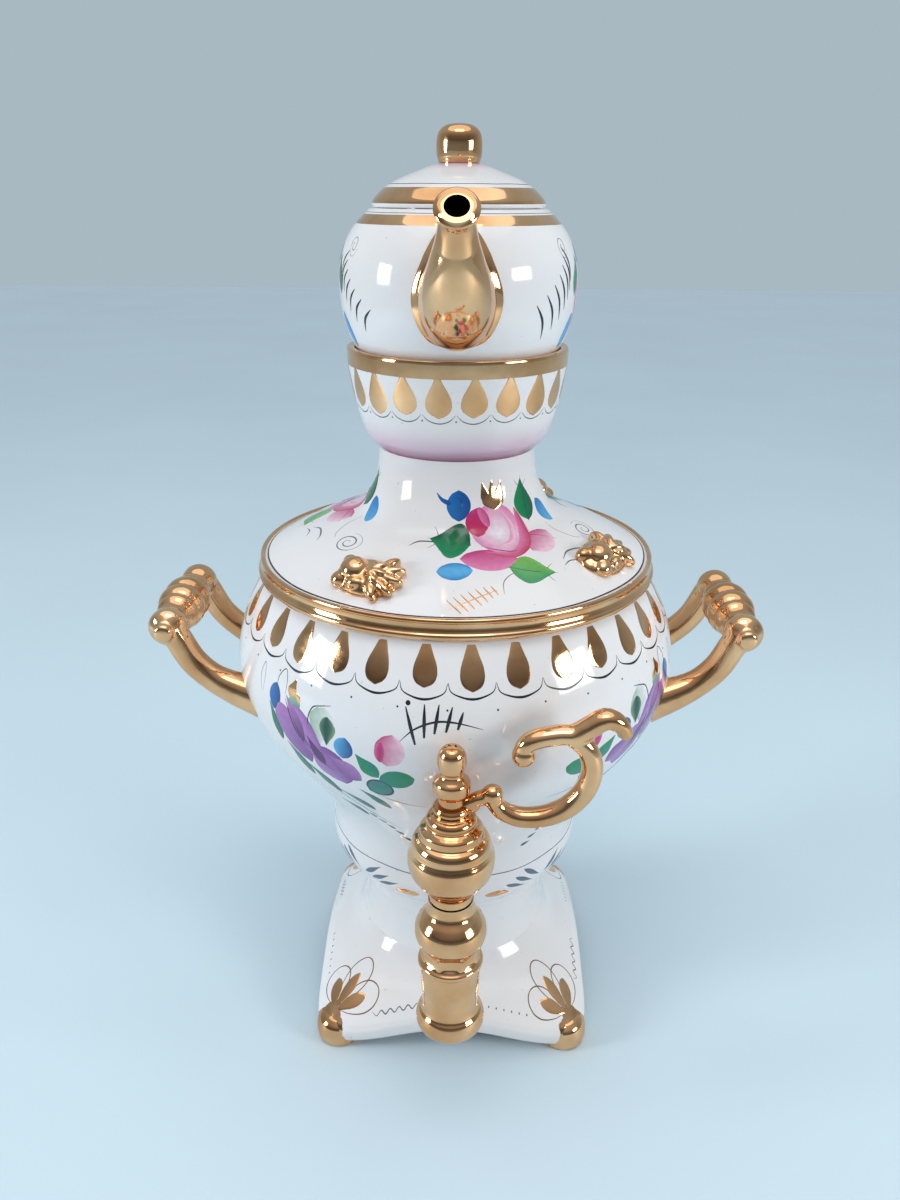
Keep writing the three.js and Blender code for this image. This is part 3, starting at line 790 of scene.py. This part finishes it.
def leaf(coat, ink, place, length, width, turn, first="leaf", second="leafDark", veins=3):
    # a pointed leaf with a drawn spine and side veins
    petal(coat, place, length, width, turn, first, second, "side", pointed)
    spine = [(0, -0.52 * length), (0.04 * width, 0), (0, 0.56 * length)]
    pen(ink, place, spine, [0.5, 0.55, 0.15], "leafDark", lift=0.11, turn=turn)
    for k in range(veins):
        y = (-0.28 + 0.56 * k / max(veins - 1, 1)) * length
        for side in (-1, 1):
            vein = [(0, y), (side * 0.17 * width, y + 0.08 * length),
                    (side * 0.3 * width, y + 0.2 * length)]
            pen(ink, place, vein, [0.4, 0.3, 0.1], "leafDark", lift=0.11, turn=turn)


def fern(coat, place, spine, strokes, colour, weight=0.5):
    # a spine and the short strokes that cross it: (u, v, length, lean in degrees)
    pen(coat, place, spine, [0.15, weight, weight, 0.2], colour)
    for u, v, length, lean in strokes:
        c, s = math.cos(math.radians(lean)) * length / 2, math.sin(math.radians(lean)) * length / 2
        pen(coat, place, [(u - s, v - c), (u, v), (u + s, v + c)], [weight, weight * 1.7, weight * 0.5],
            colour, lift=0.09)


def petals(coat, spot, side, rows):
    # a run of petals in one bouquet; their lean and bend are mirrored when side is -1
    def lay(angle, s, length, width, lean, first, second, how, lift=0.07, shape=oval, bend=0):
        petal(coat, spot(angle, s), length, width, side * lean, first, second, how, shape, side * bend,
              lift=lift)

    for row in rows:
        lay(*row)


def lines(ink, spot, side, rows):
    # a run of pen lines in one bouquet, each at its own place
    for angle, s, path, widths, colour, lift in rows:
        pen(ink, spot(angle, s), [(side * u, v) for u, v in path], widths, colour, lift=lift)


def spiral(coat, place, size, turns, colour, weight=0.4, start=0.0, tall=1.0):
    path = []
    for k in range(int(turns * 10) + 1):
        a = start + 2 * math.pi * k / 10
        r = size * (0.12 + 0.88 * k / (turns * 10))
        path.append((r * math.cos(a), r * tall * math.sin(a)))
    pen(coat, place, path, [0.15, weight, weight, 0.15], colour)


def dot(coat, place, size, colour="ink", tall=1.0):
    stroke(coat, place, [(0, -size * tall / 2), (0, 0), (0, size * tall / 2)],
           [0.1, size * 0.85, size, size * 0.85, 0.1], colour, spacing=0.2, lift=0.09)


def goldBand(name, body, surface, low, high, thick=0.09):
    # a gilded ring that follows the surface from one height to another
    s = np.linspace(low, high, max(6, int((high - low) / 0.7)))
    r, z = np.interp(s, surface["s"], surface["r"]), np.interp(s, surface["s"], surface["z"])
    line = np.stack([r, z], 1)
    rise = thick * np.minimum(1, np.minimum(s - low, high - s) / 0.4) - 0.02
    way = np.gradient(line, axis=0)
    way /= np.linalg.norm(way, axis=1)[:, None]
    outer = line + rise[:, None] * np.stack([way[:, 1], -way[:, 0]], 1)
    make(name, turned([*outer, *parallel(line, -0.2)[::-1]], sides=288), body, gold)


def paintedRing(coat, surface, s, width, colour, wobble=0.12):
    # a hand-drawn line all the way round
    e = np.array([-1, -0.5, 0, 0.5, 1])
    lift = 0.06 * (1 - 1.5 * np.abs(e) ** 5)
    start, count = len(coat["corners"]), 288
    for n in range(count):
        sway = wobble * math.sin(n * 0.21) * math.sin(n * 0.043)
        angle, up = 360 * n / count, s + sway + e * width / 2
        coat["corners"].extend(liftedFrom(surface, np.full(5, angle), up, lift).tolist())
        coat["corners"].extend(liftedFrom(surface, np.full(2, angle), up[[3, 1]],
                                          np.full(2, -0.18)).tolist())
        coat["paint"].extend([paints[colour]] * 7)
        coat["faces"].extend(strip(start + n * 7, start + (n + 1) % count * 7, 7))


# painting on the tank

tankRow = {"count": 32, "phase": 4.5, "top": 138.4, "length": 17.6, "scallop": 117.8, "cusp": 122.6,
           "dots": 113.6, "radius": 93}
tankGold, tankInk, tankPaint = newCoat(), newCoat(), newCoat()
pitch = 360 / tankRow["count"]
hand = np.random.default_rng(7)
for k in range(tankRow["count"]):
    angle = tankRow["phase"] + pitch * k
    skew, stretch = hand.uniform(-0.6, 0.6), hand.uniform(0.94, 1.05)
    length = tankRow["length"] * stretch
    path = [(0, 0), (skew * 0.4, -length * 0.35), (skew, -length * 0.7), (skew * 0.7, -length)]
    stroke(tankGold, around(tankSkin, angle, tankRow["top"]), path,
           [2.8, 3.5, 4.4, 5.5, 6.6, 7.7, 8.7, 9.5, 10.0, 10.2, 10.0, 9.2, 7.6, 4.9, 1.0], "white",
           lift=0.12, across=11, spacing=0.5)
    half = math.radians(pitch / 2) * tankRow["radius"]
    rise = tankRow["cusp"] - tankRow["scallop"]
    path = [(-half * 0.97, rise * 1.15), (-half * 0.86, rise * 0.45), (-half * 0.42, 0.2), (0.2, -0.5),
            (half * 0.45, 0.2), (half * 0.86, rise * 0.45), (half * 0.97, rise * 1.15)]
    pen(tankInk, around(tankSkin, angle, tankRow["scallop"] + hand.uniform(-0.3, 0.3)), path,
        [0.2, 0.5, 0.85, 1.15, 0.85, 0.5, 0.2], "ink")
    dot(tankInk, around(tankSkin, angle + pitch / 2, tankRow["dots"] + hand.uniform(-0.8, 0.8)), 0.9)

fern(tankInk, around(tankSkin, -2.5, 107), [(-16, -7.6), (-10, -1.6), (-2, 1.8), (6, 1.6), (15.5, -1)],
     [(-11.4, -0.4, 15, -14), (-6.2, 1.8, 13, 0), (-1.6, 2.8, 11.4, 8), (3.0, 2.8, 10, 13),
      (7.2, 2.4, 7, 16)], "ink", 0.95)
dot(tankInk, around(tankSkin, -10, 115.4), 2.1)


def tankBouquet(turn, mirror):
    # one rose between buds, berry and leaves; every place is counted from the bouquet's own meridian
    def spot(angle, s):
        return around(tankSkin, turn + mirror * angle, s)

    # trailing dark leaves below
    petals(tankPaint, spot, mirror, [(angle, s, length, width, -lean, "leafDark", "sea", "along", 0.07,
                                      pointed, 1.2) for angle, s, length, width,
                                     lean in ((9, 62, 17, 5.4, 38), (2, 55, 18, 5.8, 40),
                                              (-6, 67, 20, 6.4, 34), (-3, 43, 14, 5.0, 44),
                                              (-12, 75, 19, 6.6, 26), (-18, 91, 18, 6.6, 14))])
    petals(tankPaint, spot, mirror, [(3 + 2.3 * k, 40 - 4.6 * k, 5.0, 2.2, -35 - 6 * k, "leafDark", "slate",
                                      "along", 0.07, pointed) for k in range(7)])
    petals(tankPaint, spot, mirror, [
        # rose
        (-1, 79, 21, 20, -30, "lilac", "purple", "side", 0.07, oval, 1.5),
        (3.5, 81, 17, 12, -52, "purple", "lilac", "side", 0.1, pointed),
        (-12, 89, 29, 16, -34, "purple", "lilac", "along", 0.1, oval, 2),
        (-7, 92, 27, 13, -30, "lilac", "purple", "edge", 0.12, oval, 1.5),
        (-10, 97, 20, 9.5, -26, "plum", "lilac", "along", 0.14, pointed, 1.5),
        (-4, 86, 15, 7.5, -24, "plum", "purple", "edge", 0.15, pointed),
        # blue buds
        (-17, 103, 12, 8.5, 8, "blue", "deepBlue", "side", 0.12),
        (4.5, 92, 10.5, 9.4, 12, "sky", "deepBlue", "side", 0.12),
        # sea-green cup of the gilded tulip
        (-9.8, 104, 6.5, 8, -12, "sea", "leafPale", "along", 0.08),
        # half-filled leaf
        (-1.2, 99, 17, 14, 10, "leafPale", "white", "side", 0.08, pointed[::-1]),
        (0.2, 97.5, 13, 9.5, 4, "leafDark", "leafPale", "edge", 0.11, pointed[::-1]),
        # berry on three small leaves
        (16, 95, 14.6, 13.4, 10, "magenta", "blush", "side", 0.1),
        (13.8, 94, 9.6, 5.4, 6, "magenta", "pink", "edge", 0.12),
        (10, 85.6, 13.5, 8.6, -38, "leaf", "sea", "side", 0.1, pointed),
        (17, 80.6, 15, 11, 74, "sea", "leaf", "along", 0.1),
        (12.2, 73.4, 12, 11, 60, "sea", "slate", "edge", 0.09)])
    petals(tankGold, spot, mirror, [(-10.5, 110, 8.5, 5.4, 18, "white", None, "along", 0.07, drop[::-1]),
                                    (-9, 107.5, 6.5, 3.4, -34, "white", None, "along", 0.07, drop[::-1])])
    folds = [(-7, 88, [(u - 5, v + length * 0.45), (u, v), (u + 6, v - length * 0.4)],
              [0.15, 0.8, 0.6, 0.15], "plum", 0.17) for u, v,
             length in ((-5, 6, 24), (-1, 2, 21), (3, -2, 17), (7, -7, 13))]
    lines(tankInk, spot, mirror, [(0, 50, [(-9, 16), (-2, 4), (6, -8), (14, -19)], [0.2, 0.6, 0.5, 0.15],
                                   "leafDark", 0.07), (14, 64, [(-8, 6), (0, 1.4), (8, -1), (14, -1.6)],
                                                       [0.2, 0.5, 0.45, 0.15], "slate", 0.07), *folds,
                                  (-15, 110, [(-1.5, -6), (-2, 1), (1.5, 6), (3.6, 2), (3.4, -4)],
                                   [0.2, 0.45, 0.45, 0.4, 0.15], "ink", 0.07),
                                  (-23, 108, [(0, -7), (-1.6, 0), (0.4, 6), (1.9, 1), (0.9, -6)],
                                   [0.2, 0.4, 0.4, 0.35, 0.15], "slate", 0.07),
                                  (-2, 100, [(-4.6, -6), (-5.4, 0), (-3.2, 5.6), (0.8, 7.4), (5.6, 8.6)],
                                   [0.2, 0.6, 0.6, 0.6, 0.2], "ink", 0.12)])
    ring = [(5.3 * math.cos(a) * mirror, 5.0 * math.sin(a))
            for a in np.linspace(0, 2 * math.pi, 12, endpoint=False)]
    pen(tankInk, spot(12.2, 73.4), ring, 1.1, "leafDark", closed=True, lift=0.12)


for turn, mirror in ((-30, 1), (49, -1), (150, 1), (229, -1)):
    tankBouquet(turn, mirror)
finishCoat(tankGold, "tankGoldPaint", "root", gold)
finishCoat(tankPaint, "tankFlowers", "root", paint)
finishCoat(tankInk, "tankLinework", "root", paint)
print("tank painted")

# painting on the pedestal

baseGold, baseInk, stemInk = newCoat(), newCoat(), newCoat()
# the fans' petals are given by their lean and length
fans = {"place": 56.5, "gap": 2.6, "petals": ((-62, 12), (0, 15), (58, 13.5)), "edge": 60.5}
outline = [(0.02, 0.5), (0.35, 3.8), (0.8, 5.8), (1.15, 5.4), (1.38, 3.1), (1.46, 0)]
loopPath = [(d, -w) for d, w in outline] + [(d, w) for d, w in reversed(outline[:-1])]
for turn in (0, 90, 180, 270):
    c, s = round(math.cos(math.radians(turn))), round(math.sin(math.radians(turn)))
    x = y = -fans["place"]
    corner = onBase(x * c - y * s, x * s + y * c, turn - 45)
    for lean, length in fans["petals"]:
        # a gilded petal inside an inked loop
        a = math.radians(lean * 0.62)
        out = np.array([math.sin(a), math.cos(a)])
        along = [out * (fans["gap"] + d * length) for d in (0, 0.35, 0.7, 1)]
        stroke(baseGold, corner, along, [0.9, 3.4, 5.2, 6.2, 6.0, 4.2, 0.5], "white", lift=0.12, across=9)
        bent = [out * (fans["gap"] + d * length) + (out[1] * w, -out[0] * w) for d, w in loopPath]
        pen(baseInk, corner, bent, [0.2, 0.6, 0.6, 0.6, 0.2], "brown")
    # a waved line on one half of each side, a row of dots on the other
    edge = fans["edge"]
    waves = [(-37 + 2.1 * k, -0.4 + 0.75 * (-1) ** k + 0.03 * k) for k in range(12)]
    pen(baseInk, onBase(edge * s, -edge * c, turn), waves, [0.2, 0.6, 0.5, 0.6, 0.2], "greyInk")
    for k in range(7):
        u = 14 + 3.6 * k
        dot(baseInk, onBase(u * c + edge * s, u * s - edge * c, turn), 0.8, "greyInk")
    # gilded petals round the stem's upper rim, with slate strokes climbing outwards from them
    for side in (-1, 1):
        petal(baseGold, around(stemSkin, side * 21 + turn, 46.5), 12.5, 6.4, 90 + side * 10, "white")
        for k in range(3):
            spot = around(stemSkin, side * (30 + 4.2 * k) + turn, 49.5 + 2.2 * k)
            petal(baseInk, spot, 12.5, 2.8, 90 + side * (24 + 6 * k), "slate", "greyInk", shape=pointed)
finishCoat(baseGold, "pedestalGoldPaint", "root", gold)
paintedRing(stemInk, stemSkin, 59.5, 0.6, "slate", 0.3)
finishCoat(baseInk, "pedestalLinework", "root", paint)
finishCoat(stemInk, "stemLinework", "root", paint)
print("pedestal painted")

# painting on the urn lid

lidGold, lidInk, lidPaint = newCoat(), newCoat(), newCoat()
paintedRing(lidInk, lidSkin, 1.2, 0.85, "ink", 0.15)


def lidBouquet(turn):
    def spot(angle, s):
        return around(lidSkin, turn + angle, s)

    coat, ink = lidPaint, lidInk
    # rose: low petals, pale face, core, and two crescents round it
    petals(coat, spot, 1, [(14, 30, 23, 13.5, 96, "magenta", "pink", "side"),
                           (43, 36, 18, 13.5, 62, "magenta", "blush", "side"),
                           (36, 45, 12, 12, 20, "blush", "pink", "along"),
                           (24, 44.5, 27, 25, 0, "pink", "white", "core", 0.09),
                           (13.5, 50, 12.6, 11.6, 10, "crimson", "magenta", "along", 0.13),
                           (17, 52, 9, 5.2, -24, "pink", "magenta", "side", 0.15)])
    stroke(coat, spot(24, 44.5), [(9.6, 10), (11.4, 1), (8.5, -7.8), (0, -12.4), (-10, -9.6)],
           [0.4, 4.6, 6.8, 6.0, 4.4, 0.3], "crimson", "pink", "side", lift=0.12, across=9)
    stroke(coat, spot(24, 44.5), [(3, 9.5), (6.4, 3), (4, -4.4), (-3.2, -7)], [0.3, 2.6, 3.0, 0.4], "blush",
           "pink", "side", lift=0.13, across=9)
    # blue flowers
    petals(coat, spot, 1, [(2, 57, 12.4, 10.8, 0, "blue", "deepBlue", "side", 0.1),
                           (65, 49, 12.6, 8.6, -18, "sky", "blue", "along", 0.1),
                           (0, 24.3, 14, 10.6, 86, "sky", "blue", "edge", 0.1)])
    stroke(coat, spot(-6, 59), [(-4, 3), (-1.5, 0.2), (3, -1.5)], [0.3, 1.8, 2.6], "blue", "deepBlue",
           lift=0.09)
    for angle, s, length, width, lean, first, second in ((49, 56.5, 17.5, 12.5, 6, "leaf", "leafDark"),
                                                         (-2.5, 41, 16.5, 20, -78, "leaf", "leafDark"),
                                                         (28.5, 21.6, 18.5, 17, 112, "leafLight", "leaf")):
        leaf(coat, ink, spot(angle, s), length, width, lean, first, second)
    # gilded bud: three upright points on a round cup
    for u, lean, length in ((-3.1, -13, 9.6), (0, 0, 10.4), (3.1, 13, 9.6)):
        place = around(lidSkin, turn + 25 + math.degrees(u / 34), 61.5)
        petal(lidGold, place, length, 4.8, lean, "white", shape=drop[::-1], lift=0.12)
    petal(lidGold, spot(25, 58.4), 7.4, 10.6, 0, "white", lift=0.15)
    fern(lidGold, spot(5.5, 9.5), [(-9.5, -4.4), (-3, -1.2), (3.5, 2), (9.5, 4.4)],
         [(-7.5, -3.2, 8, -38), (-4.9, -1.9, 8.6, -36), (-2.2, -0.6, 8.8, -34), (0.6, 0.8, 8.4, -34),
          (3.3, 2.2, 8, -32), (5.9, 3.4, 6.8, -30), (8.4, 4.4, 5.4, -28)], "white", 0.55)
    # drawn folds, tendrils and arcs
    lines(ink, spot, 1, [
        (24, 44.5, [(-10, -6), (-4, -9.4), (3, -11), (9, -7)], [0.15, 0.7, 0.6, 0.15], "plum", 0.15),
        (42, 36, [(-7, 3), (-1, 4.6), (5, 1.5), (9, -2)], [0.15, 0.7, 0.5, 0.15], "magenta", 0.12),
        (1, 57.5, [(-1.5, 3.6), (1.6, 1.4), (1.2, -3)], [0.2, 1.1, 0.2], "deepBlue", 0.13),
        (-13, 40, [(-7.5, -3), (-4, 0.4), (2, 1)], [0.2, 0.9, 0.8], "leafDark", 0.07),
        (17, 15.5, [(-2.5, -4), (-1, 2), (3, 5.6), (6.6, 6)], [0.15, 0.4, 0.4, 0.15], "brown", 0.07),
        (51, 24.5, [(-8, -1.2), (-2, 1.8), (5, 0.8), (9, -2)], [0.2, 0.9, 0.9, 0.2], "greyInk", 0.07),
        (46, 20.5, [(-5, -0.4), (0, 1), (5, -1)], [0.2, 0.8, 0.2], "greyInk", 0.07),
        (62, 38, [(-2, 6), (-3, 0), (0, -7), (3, -9)], [0.15, 0.4, 0.15], "greyInk", 0.07)])
    spiral(ink, spot(75, 30), 7.6, 2.2, "greyInk", 0.7, 0.6, 0.8)


for turn in (0, -126, 120):
    lidBouquet(turn)
finishCoat(lidGold, "lidGoldPaint", "lid", gold)
finishCoat(lidPaint, "lidFlowers", "lid", paint)
finishCoat(lidInk, "lidLinework", "lid", paint)

# painting on the gallery

galleryGold, galleryInk = newCoat(), newCoat()
galleryRow = {"count": 20, "top": 38.0, "length": 16.8, "width": 11.6, "scallop": 19.6, "radius": 42}
pitch = 360 / galleryRow["count"]
for k in range(galleryRow["count"]):
    angle = pitch * (k + 0.5)
    length = galleryRow["length"] * hand.uniform(0.95, 1.05)
    stroke(galleryGold, around(gallerySkin, angle, galleryRow["top"]),
           [(0, 0), (0.1, -length / 2), (0, -length)], [w * galleryRow["width"] for w in longDrop], "white",
           lift=0.12, across=11)
    half = math.radians(pitch / 2) * galleryRow["radius"]
    path = [(-half * 0.98, 3.2), (-half * 0.6, 0.7), (0, -0.4), (half * 0.6, 0.7), (half * 0.98, 3.2)]
    pen(galleryInk, around(gallerySkin, angle, galleryRow["scallop"]), path, [0.15, 0.5, 0.6, 0.5, 0.15],
        "greyInk")
    dot(galleryInk, around(gallerySkin, angle + pitch / 2, 20.2), 0.8, "greyInk")
finishCoat(galleryGold, "galleryGoldPaint", "lid", gold)
finishCoat(galleryInk, "galleryLinework", "lid", paint)
print("lid and gallery painted")

# painting on the teapot

goldBand("teapotShoulderGold", "teapot", potSkin, 86.4, 91.6)
goldBand("teapotLidGold", "teapot_lid", coverSkin, 0.3, 8.4)
coverInk, potInk, potPaint, potGold = newCoat(), newCoat(), newCoat(), newCoat()
paintedRing(coverInk, coverSkin, 10.4, 0.5, "ink", 0.1)
finishCoat(coverInk, "teapotLidLinework", "teapot_lid", paint)
paintedRing(potInk, potSkin, 92.3, 0.4, "greyInk", 0.03)

# raised gilded border round the root of the spout
stroke(potGold, around(potSkin, 0, 57), [(0, -14.6), (0, -4), (0, 8), (0, 20), (0, 33)],
       [5, 20, 27, 31.5, 34.5, 36.4, 37, 36.4, 34.5, 32, 29, 26, 22, 17, 10, 4], "white", lift=1.3,
       across=31)
finishCoat(potGold, "spoutBorder", "teapot", gold)

for side, reach, first in ((-1, 1.0, 68), (1, 1.5, 63)):
    def spot(angle, s):
        return around(potSkin, side * angle, s)

    # black strokes curving down behind the spout, and a small spiral
    lines(potInk, spot, side, [
        (first - 0.56 * k * k, 71.5 - 3.4 * k, [(-3.6, 4.4 * reach), (0.2, 0.8), (1.4, -4.2 * reach)],
         [0.4, 1.5, 0.3], "ink", 0.07) for k in range(7)])
    spiral(potInk, spot(60, 78), 3.6, 1.8, "greyInk", 0.4, 1.0, 1.3)
    # rose, buds and leaves on each flank
    petals(potPaint, spot, 1, [(70, 46, 15, 8, side * 24, "sky", "blue", "side"),
                               (90, 56, 24, 23, 0, "blush", "white", "core"),
                               (94, 60, 12, 11, 10, "crimson", "magenta", "along", 0.12),
                               (98, 42, 18, 9, 92, "pink", "blush", "side"),
                               (83, 74, 9, 8.6, 0, "blue", "deepBlue", "side")])
    stroke(potPaint, spot(90, 56), [(-9.6, 8), (-10.6, 0), (-7, -8), (2, -10.5), (9, -7)],
           [0.4, 3.4, 5, 4.4, 0.3], "magenta", "pink", "side", lift=0.11, across=9)
    leaf(potPaint, potInk, spot(74, 67), 15, 8.5, side * 8)
    leaf(potPaint, potInk, spot(103, 73), 14, 9, -30)
    leaf(potPaint, potInk, spot(110, 50), 15, 10, -70, "leafLight", "leaf")
finishCoat(potPaint, "teapotFlowers", "teapot", paint)
finishCoat(potInk, "teapotLinework", "teapot", paint)
print("teapot painted")

# floor, light and camera

floor = {"colour": (0.55, 0.68, 0.76), "rough": 0.6, "half": 4000}
half = floor["half"]
sheet = build("studioFloor", [(-half, -half, 0), (half, -half, 0), (half, half, 0), (-half, half, 0)],
              [(0, 1, 2, 3)])
floorFinish, tree, shader = material("pale studio floor")
shader.inputs["Roughness"].default_value = floor["rough"]
soft = ranged(tree, noise(tree, 3), 0, 1)
cloudy = blended(tree, soft, floor["colour"], tuple(c * 1.05 for c in floor["colour"]))
tree.links.new(cloudy, shader.inputs["Base Color"])
sheet.data.materials.append(floorFinish)

studio = {"world": 0.62, "left": 7.5, "right": 7, "over": 4.5, "even": 0.8, "back": (0.64, 0.78, 0.86),
          "front": ((0.0, (0.34, 0.41, 0.46)), (0.3, (0.15, 0.155, 0.17)), (0.9, (0.95, 0.97, 1.0)))}
world = bpy.data.worlds.new("studio")
scene.world = world
world.use_nodes = True
tree = world.node_tree
sky = tree.nodes["Background"]
sky.inputs["Strength"].default_value = studio["world"]
where, split = tree.nodes.new("ShaderNodeTexCoord"), tree.nodes.new("ShaderNodeSeparateXYZ")
tree.links.new(where.outputs["Generated"], split.inputs[0])
ramp = tree.nodes.new("ShaderNodeValToRGB")  # the room in front, dim at eye height
stops = ramp.color_ramp.elements
stops.new(0.3)
for stop, (place, colour) in zip(stops, studio["front"]):
    stop.position, stop.color = place, (*colour, 1)
tree.links.new(split.outputs["Z"], ramp.inputs["Fac"])
towardsBack = ranged(tree, split.outputs["Y"], 0, 1, -0.5, 0.6)
tree.links.new(blended(tree, towardsBack, ramp.outputs["Color"], studio["back"]), sky.inputs["Color"])

middleOfPiece = Vector((urnAxis[0], urnAxis[1], 200)) * mm


def softbox(name, direction, distance, size, power, colour=(1, 1, 1)):
    lamp = bpy.data.lights.new(name, "AREA")
    lamp.shape, lamp.energy, lamp.color = "RECTANGLE", power, colour
    lamp.size, lamp.size_y = size
    holder = bpy.data.objects.new(name, lamp)
    scene.collection.objects.link(holder)
    holder.location = middleOfPiece + Vector(direction).normalized() * distance
    holder.rotation_euler = (middleOfPiece - holder.location).to_track_quat("-Z", "Y").to_euler()


softbox("leftWindow", (-0.93, -0.30, 0.22), 1.3, (0.30, 0.45), studio["left"])
softbox("rightWindow", (0.84, -0.46, 0.25), 1.3, (0.45, 0.32), studio["right"], (1.0, 0.97, 0.93))
softbox("overhead", (0.0, -0.35, 1.0), 1.7, (0.9, 0.7), studio["over"])

evenLight = bpy.data.lights.new("even light", "SUN")
evenLight.energy, evenLight.angle = studio["even"], math.radians(70)
scene.collection.objects.link(bpy.data.objects.new("evenLight", evenLight))

view = {"distance": 409, "height": 375, "pitch": 22.6, "azimuth": 0.8, "roll": 0.35, "sideways": -2.5,
        "lens": 29.25}
pitchDown, swing, roll = (math.radians(view[k]) for k in ("pitch", "azimuth", "roll"))
back = Vector((math.sin(swing) * math.cos(pitchDown), -math.cos(swing) * math.cos(pitchDown),
               math.sin(pitchDown)))
right = Vector((math.cos(swing), math.sin(swing), 0))
up = right.cross(-back)
rolledRight = right * math.cos(roll) + up * math.sin(roll)
rolledUp = -right * math.sin(roll) + up * math.cos(roll)
lens = bpy.data.cameras.new("camera")
lens.lens = view["lens"]
lens.sensor_width = 36
lens.clip_start = 0.02
camera = bpy.data.objects.new("camera", lens)
scene.collection.objects.link(camera)
stand = Vector((urnAxis[0] + math.sin(swing) * view["distance"],
                urnAxis[1] - math.cos(swing) * view["distance"], view["height"])) + right * view["sideways"]
aim = Matrix((rolledRight, rolledUp, back)).transposed().to_4x4()
camera.matrix_world = Matrix.Translation(stand * mm) @ aim
scene.camera = camera
scene.view_settings.view_transform = "Standard"

print("all pieces in place")
